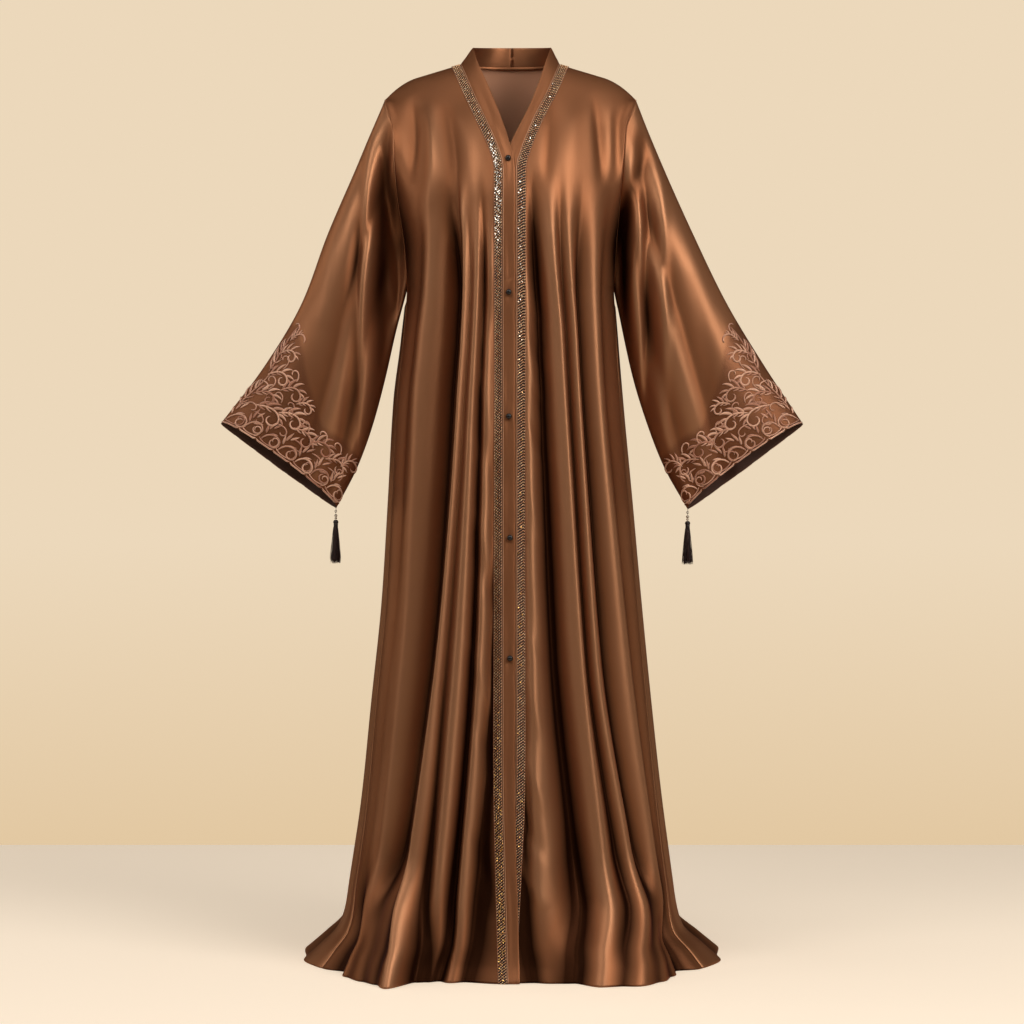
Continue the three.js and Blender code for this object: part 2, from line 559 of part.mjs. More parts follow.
function backHalf(side) {
  const columns = BACK_COLUMNS(side);
  return ROWS.map((sideDrop, row) => columns.map((share, column) => {
    const top = backTopPoint(side, column, columns.length - 1);
    if (row === 0) {
      const normal = column < NECK_COLUMNS ? neckNormal(side, top.turn) : crestNormal(side, top.x);
      const onNeck = column === NECK_COLUMNS ? neckNormal(side, 0) : normal;
      const place = new THREE.Vector3(signOf(side) * top.x, top.y, -top.drop);
      const atArmhole = column === columns.length - 1;
      return node(place, atArmhole ? armholeOutward(1, sideDrop) : onNeck);
    }
    const topAngle = Math.PI - shareToAngle(top.x / section(side, SHOULDER_DROP), SHOULDER_DROP);
    const lowAngle = Math.PI - share * (Math.PI - seamAngle(side, sideDrop));
    const settled = ease((sideDrop - SHOULDER_DROP) / BACK_SETTLE);
    const level = mix(topAngle, lowAngle, settled);
    const x = Math.sin(level) ** (2 / section('power', sideDrop)) * section(side, sideDrop);
    let drop = sideDrop;
    let angle = level;
    if (level > Math.PI / 2) {
      drop = Math.max(rowDrop(side, x, sideDrop), top.drop + LEAST_ROW_STEP * row);
      angle = Math.PI - shareToAngle(x / section(side, drop), drop);
    }
    if (column === columns.length - 1 && row <= ARMHOLE_STEPS) return armholeNode(side, 1, sideDrop);
    const normal = row === ROWS.length - 1 ? new THREE.Vector3(0, 0, 1)
      : bodyNormal(side, angle, drop);
    return node(bodyPoint(side, angle, drop), normal);
  }));
}
function backGrid() {
  const right = backHalf('right');
  const left = backHalf('left');
  return right.map((row, r) => [...row.slice(1).reverse(), ...left[r]]);
}

// ------------------------------------------------------------------ sleeves
const sleevePlace = (folds, along) => folds.map((fold) => (along < 0.5
  ? mix(fold.head, fold.elbow, along / 0.5) : mix(fold.elbow, fold.cuff, (along - 0.5) / 0.5)));

// A point of a sleeve: angle runs 0 at the outer edge, by the front, to the inner edge and back
function sleevePoint(side, angle, along) {
  const read = (column) => readTable(SLEEVES[side], 'along', column, clamp01(along));
  const top = new THREE.Vector2(read('topX'), -read('topDrop'));
  const low = new THREE.Vector2(read('lowX'), -read('lowDrop'));
  const front = Math.sin(angle) >= 0;
  const bow = Math.abs(Math.sin(angle)) ** (2 / SLEEVE_POWER);
  const across = (1 - Math.cos(angle)) / 2;
  const folds = front ? SLEEVE_FOLDS_FRONT : SLEEVE_FOLDS_BACK;
  const { from, easeAt, atCuff } = SLEEVE_SWELL;
  const swell = ease(along / from) * mix(1, atCuff, ease((along - easeAt) / (1 - easeAt)));
  const rise = swell * blendRise(sleevePlace(folds, along), folds.map((fold) => fold.rise), across);
  const depth = read(front ? 'front' : 'back') * bow + rise * Math.min(1, bow * EDGE_CALM);
  const chord = low.clone().sub(top);
  const down = new THREE.Vector2(-chord.y, chord.x).normalize().multiplyScalar(-1);
  if (down.y > 0) down.multiplyScalar(-1);
  const hang = (front ? -CUFF_FRONT_LIFT : CUFF_BACK_DROP) * bow
    * ease((along - CUFF_HANG_START) / (1 - CUFF_HANG_START));
  const flat = top.clone().addScaledVector(chord, across).addScaledVector(down, hang);
  return new THREE.Vector3(signOf(side) * flat.x, (front ? -1 : 1) * depth, flat.y);
}
function sleeveNormal(side, angle, along) {
  const at = Math.min(0.985, Math.max(0.015, along));
  const normal = surfaceNormal((u, v) => sleevePoint(side, u, v), angle, at, 0.03, 0.012);
  return side === 'right' ? normal.negate() : normal;
}
function armholeRing(side) {
  const corner = (step, face) => armholeNode(side, face, ROWS[step]);
  const ring = [];
  for (let step = 0; step < ARMHOLE_STEPS; step += 1) ring.push(corner(step, -1));
  for (let step = ARMHOLE_STEPS; step > 0; step -= 1) ring.push(corner(step, 1));
  return ring.flatMap((point, i) => {
    const next = ring[(i + 1) % ring.length];
    const between = node(point.outer.clone().lerp(next.outer, 0.5),
      point.normal.clone().add(next.normal));
    between.normal.copy(point.normal).add(next.normal).multiplyScalar(0.5);
    return [point, between];
  });
}
function sleeveGrid(side) {
  const count = 4 * ARMHOLE_STEPS;
  const rings = [armholeRing(side)];
  for (let step = 1; step < SLEEVE_RINGS; step += 1) {
    const along = step / (SLEEVE_RINGS - 1);
    rings.push(Array.from({ length: count }, (_, i) => {
      const angle = (2 * Math.PI * i) / count;
      return node(sleevePoint(side, angle, along), sleeveNormal(side, angle, along));
    }));
  }
  return rings;
}

// ------------------------------------------------------------------ band and collar
function bandEdge(side, seam, drop) {
  const sign = signOf(side);
  if (drop < PLACKET_DROP) {
    const read = (column) => readTable(BAND_EDGE, 'drop', column, drop);
    const x = Math.max(0, read(side));
    const level = -read('height');
    const lying = bodyPoint(side, shareToAngle(x / section(side, level), level), level).y;
    const y = mix(-read('forward'), lying, ease((drop - BAND_STANDS) / (BAND_LIES - BAND_STANDS)));
    return new THREE.Vector3(sign * read(side), y, -level);
  }
  const x = seam.outer.x + (side === 'right' ? 1 : -1) * BAND_WIDTH;
  return new THREE.Vector3(x, seam.outer.y, seam.outer.z);
}
function bandGrid(side, front, back) {
  const strip = [];
  for (let column = 0; column < NECK_COLUMNS; column += 1) {
    const top = backTopPoint(side, column, NECK_COLUMNS + 1);
    const seam = back[0][column];
    const edge = new THREE.Vector3(signOf(side) * COLLAR_TOP.x * Math.cos(top.turn),
      mix(COLLAR_TOP.front, COLLAR_TOP.back, Math.sin(top.turn)),
      mix(COLLAR_TOP.low, COLLAR_TOP.high, Math.sin(top.turn)));
    const facing = new THREE.Vector3(signOf(side) * Math.cos(top.turn), Math.sin(top.turn), 0.2);
    strip.push(bandRow(seam, edge, facing));
  }
  front.forEach((row, index) => {
    const drop = -row[0].outer.z;
    const edge = bandEdge(side, row[0], drop);
    const upright = new THREE.Vector3(signOf(side), -0.25, 0.35).normalize();
    const facing = row[0].normal.clone().lerp(upright, 1 - ease(drop / BAND_LIES));
    const seam = index === 0 ? node(row[0].outer, neckNormal(side, 0)) : row[0];
    strip.push(bandRow(seam, edge, index === front.length - 1 ? seam.normal : facing));
  });
  return strip;
}
function bandRow(seam, edge, facing) {
  const middle = seam.outer.clone().lerp(edge, 0.5);
  const half = seam.normal.clone().normalize().add(facing.clone().normalize());
  return [node(seam.outer, seam.normal), node(middle, half), node(edge, facing)];
}

// Trim: a strip over the first column of a front, between the band seam and the trim's far edge
function trimGrid(front) {
  const edges = [TRIM_INSET / TRIM_REACH, (TRIM_INSET + TRIM_WIDTH) / TRIM_REACH];
  return front.map((row) => edges.map((share) => node(row[0].outer.clone().lerp(row[1].outer, share),
    row[0].normal.clone().lerp(row[1].normal, share))));
}

// ------------------------------------------------------------------ buttons and tassels
function buttonGeometry(x, y, drop) {
  const ball = new THREE.SphereGeometry(BUTTON.radius, BUTTON.around, BUTTON.down);
  ball.scale(1, BUTTON.flat, 1);
  ball.translate(x, y - BUTTON.radius * BUTTON.flat - REST_GAP, -drop);
  return ball;
}
// Foremost face of the band at a drop, where a button sits
function bandFront(band, drop) {
  const below = band.findIndex((row) => row[2].outer.z <= -drop && row[2].outer.y < 0);
  const [high, low] = [band[below - 1][2].outer, band[below][2].outer];
  return mix(high.y, low.y, (high.z + drop) / (high.z - low.z));
}
function lathe(profile, sides, x, z) {
  const points = profile.map(([radius, height]) => new THREE.Vector2(radius, height));
  const geometry = new THREE.LatheGeometry(points, sides);
  geometry.rotateX(Math.PI / 2);
  geometry.translate(x, 0, z);
  return facingOut(geometry);
}
function toManifold(geometry) {
  const bare = geometry.clone();
  bare.deleteAttribute('normal');
  bare.deleteAttribute('uv');
  const merged = facingOut(mergeVertices(bare, 1e-4));
  return new wasm.Manifold(new wasm.Mesh({ numProp: 3,
    vertProperties: new Float32Array(merged.getAttribute('position').array),
    triVerts: new Uint32Array(merged.getIndex().array) }));
}
function fromManifold(solid) {
  const mesh = solid.getMesh();
  const geometry = new THREE.BufferGeometry();
  geometry.setAttribute('position', new THREE.BufferAttribute(mesh.vertProperties, 3));
  geometry.setIndex(new THREE.BufferAttribute(mesh.triVerts, 1));
  geometry.computeVertexNormals();
  return geometry;
}
// One strand: three sides, rooted in the head, bending outwards and tapering to its end
function strandGeometry(ring, turn, x, rootZ) {
  const rootRadius = ring * STRANDS.rootStep;
  const endRadius = ring * STRANDS.endStep;
  const length = STRANDS.length * (0.93 + 0.07 * Math.cos(5 * turn + ring));
  const positions = [];
  const faces = [];
  const levels = [0, 0.4, 1];
  levels.forEach((share) => {
    const reach = mix(rootRadius, endRadius, share ** 0.7);
    const thick = STRANDS.radius * mix(1, 0.8, share);
    const centre = new THREE.Vector2(Math.cos(turn), Math.sin(turn)).multiplyScalar(reach);
    for (let side = 0; side < 3; side += 1) {
      const around = turn + (side * 2 * Math.PI) / 3;
      positions.push(x + centre.x + thick * Math.cos(around),
        centre.y + thick * Math.sin(around), rootZ - share * length);
    }
  });
  for (let level = 0; level < levels.length - 1; level += 1) {
    for (let side = 0; side < 3; side += 1) {
      const a = level * 3 + side;
      const b = level * 3 + ((side + 1) % 3);
      faces.push(a, a + 3, b, b, a + 3, b + 3);
    }
  }
  const end = (levels.length - 1) * 3;
  faces.push(0, 1, 2, end, end + 2, end + 1);
  const geometry = new THREE.BufferGeometry();
  geometry.setAttribute('position', new THREE.Float32BufferAttribute(positions, 3));
  geometry.setIndex(faces);
  return facingOut(geometry);
}
function tasselGeometry(x, topZ) {
  const { radius, height } = TASSEL_HEAD;
  const profile = [[0, 0], [radius * 0.55, 0], [radius, -height * 0.35], [radius * 0.8, -height * 0.7],
    [radius * 1.05, -height], [0, -height]];
  let solid = toManifold(lathe(profile, 12, x, topZ));
  STRANDS.rings.forEach((count, ring) => {
    for (let i = 0; i < count; i += 1) {
      const turn = (2 * Math.PI * (i + 0.5 * (ring % 2))) / count;
      solid = solid.add(toManifold(strandGeometry(ring + 0.6, turn, x, topZ - height + 1.5)));
    }
  });
  return fromManifold(solid);
}

// ------------------------------------------------------------------ assembly
const abaya = new THREE.Group();
function addPiece(name, geometry, finish) {
  const mesh = new THREE.Mesh(geometry, FINISH[finish]);
  mesh.name = name;
  abaya.add(mesh);
}

const fronts = { right: frontGrid('right'), left: frontGrid('left') };
const backHalves = { right: backHalf('right'), left: backHalf('left') };
const bands = {};
for (const side of ['right', 'left']) {
  const band = bandGrid(side, fronts[side], backHalves[side]);
  const trim = trimGrid(fronts[side]);
  bands[side] = band;
  pullBack(band, firstRow);
  pullBack(band, firstColumn, 2 * SEAM_GAP);
  addPiece(`band_${side}`, wall(band), 'satin');
  pullBack(trim, firstRow);
  addPiece(`trim_${side}`, wall(trim, { thick: TRIM_THICK, lift: TRIM_THICK + REST_GAP }), 'braid');
}
for (const side of ['right', 'left']) {
  pullBack(fronts[side], firstRow);
  pullBack(fronts[side], firstColumn);
  pullBack(fronts[side], lastColumn);
  addPiece(`front_${side}`, wall(fronts[side]), 'satin');
  const sleeve = sleeveGrid(side);
  pullBack(sleeve, firstRow);
  addPiece(`sleeve_${side}`, wall(sleeve, { closed: true }), 'satin');
}
const back = backGrid();
pullBack(back, firstRow);
pullBack(back, firstColumn);
pullBack(back, lastColumn);
addPiece('back', wall(back), 'satin');

BUTTONS.forEach(({ x, drop }, index) => {
  addPiece(`button_${index + 1}`, buttonGeometry(x, bandFront(bands.right, drop), drop), 'button');
});
TASSELS.forEach(({ side, x, drop }) => {
  const hangerTop = -drop - HANGER.gap;
  const beadTop = hangerTop - HANGER.length - REST_GAP;
  const headTop = beadTop - BEAD.height - REST_GAP;
  const hanger = new THREE.CylinderGeometry(HANGER.radius, HANGER.radius, HANGER.length, 8);
  hanger.rotateX(Math.PI / 2);
  hanger.translate(x, 0, hangerTop - HANGER.length / 2);
  addPiece(`hanger_${side}`, hanger, 'metal');
  const { radius, height } = BEAD;
  const beadProfile = [[0, 0], [radius * 0.6, 0], [radius, -height * 0.3], [radius, -height * 0.7],
    [radius * 0.6, -height], [0, -height]];
  addPiece(`bead_${side}`, lathe(beadProfile, 12, x, beadTop), 'metal');
  addPiece(`tassel_${side}`, tasselGeometry(x, headTop), 'floss');
});

export default abaya;
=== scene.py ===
# %% [markdown]
# # An open-front abaya in satin
# The real garment is a long loose robe of bronze-brown satin. Two fronts lap at a narrow placket
# with five ball buttons, a plain band runs up both front edges into a low stand collar, a beaded
# braid lies beside the band, and the wide sleeves end in leaf and scroll embroidery with a tassel.
# It hangs in worn form from the shoulders and its hem spreads on the floor.
#
# Cloth like this could be simulated, but a simulation would not keep the folds where the cut puts
# them. So every panel here is a surface worked out from a few sections and a short table of folds,
# with creases placed one by one. Lengths in the tables are millimetres; a mesh gets them in metres
# at the last moment. "Drop" is how far a point lies below the neck point.

# %% Load the frame
import bmesh
import bpy
import numpy as np
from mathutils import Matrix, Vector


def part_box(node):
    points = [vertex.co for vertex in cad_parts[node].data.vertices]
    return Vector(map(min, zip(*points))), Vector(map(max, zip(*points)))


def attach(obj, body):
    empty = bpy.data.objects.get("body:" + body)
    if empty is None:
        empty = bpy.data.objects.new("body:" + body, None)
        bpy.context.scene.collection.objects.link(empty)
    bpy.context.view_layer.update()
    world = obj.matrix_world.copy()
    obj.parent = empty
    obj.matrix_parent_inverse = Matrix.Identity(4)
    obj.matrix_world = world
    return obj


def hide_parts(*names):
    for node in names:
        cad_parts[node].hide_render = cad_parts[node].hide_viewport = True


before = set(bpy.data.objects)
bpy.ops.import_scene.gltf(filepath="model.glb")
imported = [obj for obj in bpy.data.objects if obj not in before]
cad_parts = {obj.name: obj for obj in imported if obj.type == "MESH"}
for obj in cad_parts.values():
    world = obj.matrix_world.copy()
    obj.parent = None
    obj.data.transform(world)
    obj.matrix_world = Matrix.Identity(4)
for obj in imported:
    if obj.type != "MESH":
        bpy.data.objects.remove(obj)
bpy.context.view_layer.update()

MM = 0.001

# %% [markdown]
# ## Camera and floor
# The garment is looked at straight from the front, from the height of its middle, with a long lens
# so that the shoulders and the hem show at nearly the same scale. The camera and the floor come
# first, because every later choice of a fold or a highlight is judged through them.

# %% Camera and floor
CAMERA_AWAY = 4.006
CAMERA_DROP = 0.7104
LENS = 88
FLOOR_DROP = 1416
FLOOR_SIDE = 9.0
FLOOR_BEHIND = 1.30

camera = bpy.data.objects.new("camera", bpy.data.cameras.new("camera"))
camera.data.lens = LENS
camera.location = (0, -CAMERA_AWAY, -CAMERA_DROP)
camera.rotation_euler = (np.pi / 2, 0, 0)
bpy.context.scene.collection.objects.link(camera)
bpy.context.scene.camera = camera
print("camera at", tuple(camera.location), "lens", LENS)

# %% [markdown]
# ## Small helpers
# Four helpers carry the whole garment. `table` gives names to the columns of a short table, `read`
# draws a smooth curve through one column, `ease` is the soft step that blends one form into
# another, and `put_mesh` hands whole arrays of corners and faces to Blender in one call each. A
# mesh could be edited corner by corner instead, but arrays are quick and can be measured.

# %% Helpers
def mix(low, high, share):
    """A value part of the way from low to high."""
    return low + (high - low) * share


def ease(value):
    """A soft step: 0 below 0, 1 above 1, and level at both ends."""
    held = np.clip(value, 0, 1)
    return held * held * (3 - 2 * held)


def table(columns, rows):
    """A short table as one array for each named column."""
    return dict(zip(columns.split(), np.array(rows, float).T))


def read(rows, column, at, key="drop"):
    """A monotone cubic through one column: the tangent at a row is the harmonic mean of the slopes
    on its two sides, or level where they disagree, so the curve never swings past a row."""
    place, value = rows[key], rows[column]
    slope = np.diff(value) / np.diff(place)
    product = slope[:-1] * slope[1:]
    inner = np.divide(2 * product, slope[:-1] + slope[1:], out=np.zeros_like(product),
                      where=product > 0)
    tangent = np.concatenate(([slope[0]], inner, [slope[-1]]))
    at = np.clip(at, place[0], place[-1])
    row = np.clip(np.searchsorted(place, at, side="right") - 1, 0, len(place) - 2)
    span = place[row + 1] - place[row]
    share = (at - place[row]) / span
    square, cube = share ** 2, share ** 3
    return ((2 * cube - 3 * square + 1) * value[row]
            + (cube - 2 * square + share) * span * tangent[row]
            + (3 * square - 2 * cube) * value[row + 1]
            + (cube - square) * span * tangent[row + 1])


def unit(vectors):
    """The same directions with length one."""
    return vectors / np.maximum(np.linalg.norm(vectors, axis=-1, keepdims=True), 1e-9)


def stack(*parts):
    """Coordinates joined into points."""
    return np.stack(np.broadcast_arrays(*parts), axis=-1)


def put_mesh(name, corners, faces, uv=None, tone=None, smooth=True):
    """A mesh from arrays. corners are millimetres, faces hold three or four corner numbers each,
    uv has one place for each corner of each face, and tone one number for each corner."""
    mesh = bpy.data.meshes.new(name)
    mesh.vertices.add(len(corners))
    mesh.vertices.foreach_set("co", (corners * MM).astype(np.float32).ravel())
    mesh.loops.add(faces.size)
    mesh.loops.foreach_set("vertex_index", faces.astype(np.int32).ravel())
    mesh.polygons.add(len(faces))
    starts = np.arange(len(faces), dtype=np.int32) * faces.shape[1]
    mesh.polygons.foreach_set("loop_start", starts)
    mesh.polygons.foreach_set("use_smooth", np.full(len(faces), smooth))
    if uv is not None:
        layer = mesh.uv_layers.new(name="cloth")
        layer.data.foreach_set("uv", (uv * MM).astype(np.float32).ravel())
    if tone is not None:
        attribute = mesh.attributes.new("tone", "FLOAT", "POINT")
        attribute.data.foreach_set("value", tone.astype(np.float32).ravel())
    mesh.update(calc_edges=True)
    mesh.validate()
    piece = bpy.data.objects.new(name, mesh)
    bpy.context.scene.collection.objects.link(piece)
    return piece


def grid_faces(rows, columns, closed=False):
    """Four-cornered faces of a grid of corners; a closed grid joins its last column to its first."""
    spans = columns if closed else columns - 1
    row, column = np.meshgrid(np.arange(rows - 1), np.arange(spans), indexing="ij")
    beside = (column + 1) % columns
    faces = stack(row * columns + column, (row + 1) * columns + column,
                  (row + 1) * columns + beside, row * columns + beside)
    return faces.reshape(-1, 4)


def grid_normals(points, closed=False):
    """Cross product of the steps along the two directions of a grid."""
    if closed:
        around = np.roll(points, -1, axis=1) - np.roll(points, 1, axis=1)
    else:
        around = np.gradient(points, axis=1)
    return unit(np.cross(np.gradient(points, axis=0), around))


def facing_out(points, outward, closed=False):
    """Normals of a grid, all turned to the outward side."""
    normals = grid_normals(points, closed)
    return normals * (1 if np.sum(normals * outward) > 0 else -1)


def wound_out(corners, faces, outward):
    """Faces with their corners in the order that makes them face outward."""
    a, b, c = (corners[faces[:, i]] for i in (0, 1, 2))
    agree = np.sum(np.cross(b - a, c - a) * outward[faces[:, 0]])
    return faces if agree > 0 else faces[:, ::-1]


def grid_lengths(points):
    """How far each corner lies along its row and along its column, measured on the cloth."""
    across = np.linalg.norm(np.diff(points, axis=1), axis=-1)
    down = np.linalg.norm(np.diff(points, axis=0), axis=-1)
    return (np.pad(np.cumsum(across, axis=1), ((0, 0), (1, 0))),
            np.pad(np.cumsum(down, axis=0), ((1, 0), (0, 0))))


def put_grid(name, points, outward, closed=False, uv=None, tone=None):
    """A grid of points as a smooth mesh that faces outward."""
    rows, columns = points.shape[:2]
    faces = grid_faces(rows, columns, closed)
    corners = points.reshape(-1, 3)
    turned = wound_out(corners, faces, outward.reshape(-1, 3))
    flat = None if uv is None else uv.reshape(-1, 2)[turned.ravel()]
    return put_mesh(name, corners, turned, flat, tone)


# %% [markdown]
# ## The cut of the garment
# A pattern cutter thinks in a few measurements: shoulder drop, armhole depth, width and depth of
# the body at a row of heights. The same few are written here as short tables. "right" and "left"
# are the wearer's, and the wearer's right is -X. The body's cross-section is a squarish oval (a
# superellipse), because hanging cloth is flatter in front and behind than a plain oval is.

# %% Measurements
SHOULDER_DROP = 52
SHOULDER_ROUND = 20.5
ROUND_START = 0.57
UNDERARM_DROP = 355
ARMHOLE_BOW = {"front": 60, "back": 66}
ARMHOLE_REACH = 10
CHEST_RISE = 250
NECK_BACK = 72
NECK_RISE = 5
NECK_BACK_RISE = 6
PLACKET_DROP = 172
BAND_WIDTH = 18
TRIM_INSET = 1.2
TRIM_WIDTH = 13
CLOTH = 0.8
HEM_DROP = FLOOR_DROP - CLOTH

NECKLINE = table("drop right left", [
    [-5, 82, 76], [45, 63, 57], [90, 44, 36], [150, 19.5, 13.5], [175, 13.5, 7],
    [1100, 13.5, 6], [1270, 10, -1], [1416, 6, -9]])
SECTIONS = table("drop right left front back power", [
    [-12, 204, 199, 88, 96, 2.3], [52, 204, 199, 100, 108, 2.3],
    [100, 190, 182, 118, 114, 2.3], [163, 187, 177, 131, 116, 2.3],
    [227, 181, 172, 138, 116, 2.3], [291, 172, 167, 140, 115, 2.3],
    [355, 169, 164, 140, 114, 2.3], [435, 175, 168, 142, 115, 2.3],
    [531, 186, 175, 146, 118, 2.3], [699, 195, 190, 156, 132, 2.35],
    [851, 204, 203, 168, 152, 2.4], [1011, 220, 218, 184, 178, 2.45],
    [1171, 236, 235, 205, 210, 2.5], [1299, 256, 253, 226, 246, 2.5],
    [1335, 263, 260, 234, 260, 2.45], [1363, 275, 271, 242, 273, 2.4],
    [1392, 306, 306, 252, 294, 2.3], [1416, 335, 336, 264, 318, 2.2]])
SIDE_SEAM = table("drop share", [
    [355, 1], [560, 0.985], [850, 0.98], [1290, 0.96], [1363, 0.93], [1416, 0.88]])
LAP = table("drop lift", [[50, 0], [110, 3.2], [950, 3.2], [1180, 6.5], [1416, 6.5]])
LAP_FADE = 0.34
SIGN = {"right": -1, "left": 1}
NECK_HALF = {side: float(read(NECKLINE, side, -5)) for side in SIGN}
SHOULDER_HALF = {side: float(read(SECTIONS, side, SHOULDER_DROP)) for side in SIGN}
print("shoulders", sum(SHOULDER_HALF.values()), "mm across")

# %% [markdown]
# ## Folds
# Below the bust the cloth falls in long folds. On the real garment each fold has a place where it
# springs, wanders outwards as the skirt widens, and ends on the floor. So a fold is one row of a
# table: its place across the panel at six heights, and how far it rises (a ridge) or sinks (a
# valley) at the hip, above the hem and on the floor. Between neighbours the height blends along a
# cosine; leaning that cosine towards the valley gives what satin does: round ridges, tight valleys.

# %% Fold tables
LEVELS = np.array([-5, 190, 445, 937, 1298, 1416], float)
HIP_DROP, HEM_FOLD_DROP = 445, 1225
FOLD_START = 165
FOLD_RAMP = 210
VALLEY_LEAN = 0.85
FOLD_COLUMNS = "top bust hip knee hem floor rise_hip rise_hem rise_floor"
FRONT_FOLDS = {
    "right": table(FOLD_COLUMNS, [
        [0.45, 0.12, 0.135, 0.148, 0.208, 0.24, -4, -14, -8],
        [0.50, 0.20, 0.216, 0.242, 0.316, 0.32, 3, 8, 4],
        [0.55, 0.245, 0.262, 0.290, 0.362, 0.375, -5, -12, -6],
        [0.60, 0.30, 0.325, 0.394, 0.454, 0.43, 9, 12, 6],
        [0.65, 0.37, 0.385, 0.488, 0.532, 0.48, 0, -5, 12],
        [0.70, 0.425, 0.436, 0.546, 0.652, 0.55, 8, 10, 74],
        [0.75, 0.48, 0.490, 0.595, 0.695, 0.62, -25, -32, 50],
        [0.80, 0.55, 0.57, 0.690, 0.82, 0.70, -36, -40, 38],
        [0.86, 0.72, 0.815, 0.86, 0.91, 0.82, 4, -9, 20],
        [0.92, 0.82, 0.91, 0.93, 0.95, 0.90, -6, -4, -10]]),
    "left": table(FOLD_COLUMNS, [
        [0.42, 0.08, 0.09, 0.10, 0.10, 0.11, -1, -5, -3],
        [0.46, 0.12, 0.14, 0.15, 0.175, 0.20, 0, 8, 5],
        [0.51, 0.19, 0.275, 0.328, 0.44, 0.31, -19, -30, 8],
        [0.57, 0.34, 0.446, 0.507, 0.578, 0.42, 8, 12, 46],
        [0.63, 0.43, 0.515, 0.566, 0.70, 0.50, -5, -9, 46],
        [0.69, 0.50, 0.584, 0.624, 0.765, 0.58, 5, 4, 56],
        [0.75, 0.63, 0.66, 0.726, 0.862, 0.70, -11, -20, 38],
        [0.81, 0.78, 0.78, 0.858, 0.935, 0.80, 7, 4, 12],
        [0.90, 0.90, 0.88, 0.92, 0.965, 0.90, -5, -3, -18]]),
}
BACK_FOLDS = {
    "right": table("place rise_hip rise_hem rise_floor", [
        [0, 5, 10, 10], [0.12, -8, -16, -10], [0.23, 6, 12, 18], [0.35, -6, -12, -6],
        [0.46, 8, 14, 12], [0.57, -9, -16, -12], [0.68, 5, 8, 2], [0.79, -5, -9, -6],
        [0.88, 4, 5, 2], [0.95, -2, -2, 0], [1, 0, 0, 0]]),
    "left": table("place rise_hip rise_hem rise_floor", [
        [0, 5, 10, 10], [0.10, -7, -13, -8], [0.20, 7, 13, 20], [0.33, -9, -17, -10],
        [0.45, 6, 12, 12], [0.55, -5, -10, -4], [0.66, 8, 9, 3], [0.78, -7, -12, -8],
        [0.88, 3, 5, 2], [0.95, -2, -2, 0], [1, 0, 0, 0]]),
}


def fold_rises(folds, drop):
    """Height of every fold at a drop: grows in below the bust, then goes in straight lines to the
    hem, and eases to its floor height over the last stretch."""
    grown = ease((drop - FOLD_START) / FOLD_RAMP)
    down = np.clip((drop - HIP_DROP) / (HEM_FOLD_DROP - HIP_DROP), 0, 1)
    landed = ease((drop - HEM_FOLD_DROP) / (FLOOR_DROP - HEM_FOLD_DROP))
    return [mix(mix(hip, hem, down), floor, landed) * grown
            for hip, hem, floor in zip(folds["rise_hip"], folds["rise_hem"], folds["rise_floor"])]


def fold_field(places, rises, at):
    """Sum of leaning cosine steps, one from each fold to the next."""
    total = rises[0] + 0 * at
    for low, high, place, following in zip(rises[:-1], rises[1:], places[:-1], places[1:]):
        share = np.clip((at - place) / (following - place), 0, 1)
        leaning = np.where(high > low, share ** VALLEY_LEAN, 1 - (1 - share) ** VALLEY_LEAN)
        total = total + (high - low) * (1 - np.cos(np.pi * leaning)) / 2
    return total


print("folds:", {side: len(f["top"]) for side, f in FRONT_FOLDS.items()})

# %% [markdown]
# ## Creases
# Long folds alone look like corrugated sheet. Real cloth also has short soft creases: pulls that
# fan out from the bust, drags beside the stiff braid, breaks at the elbow and where the hem meets
# the floor. Each crease here is one row: where it starts and ends in the front view, how far its
# middle bows sideways, how wide it is, how high it rises (below zero for a trough) and how much
# steeper its one side is. All creases of a panel are added up as one smooth height field.

# %% Crease field
CREASE_COLUMNS = "x0 drop0 x1 drop1 bow wide rise lean"
FRONT_CREASES = {
    "right": table(CREASE_COLUMNS, [
        [-131, 60, -131, 240, 10, 12, 7.0, 0.2], [-106, 62, -84, 250, 4, 14, -7.0, 0],
        [-158, 56, -160, 200, 4, 11, -6.5, 0], [-62, 50, -54, 230, 3, 17, 4.0, 0],
        [-46, 250, -22, 420, 5, 11, 1.8, 0.3], [-52, 330, -24, 520, 6, 11, -2.0, 0.3],
        [-60, 470, -22, 650, 8, 12, 2.0, 0.4], [-64, 560, -24, 700, 8, 11, -2.2, 0.3],
        [-62, 700, -24, 850, 8, 11, 2.8, 0.4], [-56, 770, -22, 900, 6, 11, -2.8, 0.3],
        [-70, 900, -26, 1080, 10, 10, 2.6, 0.4], [-62, 1010, -24, 1180, 8, 9, -2.4, 0.3],
        [-64, 1180, -30, 1330, 6, 10, -3.0, 0.2]]),
    "left": table(CREASE_COLUMNS, [
        [63, 60, 52, 210, 0, 9, -2.4, 0], [128, 46, 142, 200, 3, 9, -4.5, 0],
        [90, 50, 84, 210, 3, 18, 2.6, 0], [156, 60, 154, 190, -3, 9, 2.4, 0],
        [26, 180, 44, 420, -6, 11, -3.0, 0.2],
        [30, 350, 58, 450, -6, 6, 1.6, 0.3], [28, 410, 56, 505, -6, 5.5, -2.0, 0.3],
        [30, 470, 58, 560, -6, 6, 1.8, 0.3], [28, 535, 54, 640, -6, 6, -2.2, 0.3],
        [28, 640, 50, 770, -6, 7, 1.6, 0.3], [26, 820, 56, 960, -8, 8, -2.0, 0.3],
        [24, 930, 58, 1080, -8, 9, 2.4, 0.3], [20, 1060, 56, 1170, -7, 9, 3.4, 0.3],
        [18, 1140, 54, 1240, -7, 9, -3.6, 0.3], [16, 1220, 50, 1310, -6, 9, 3.0, 0.3]]),
}
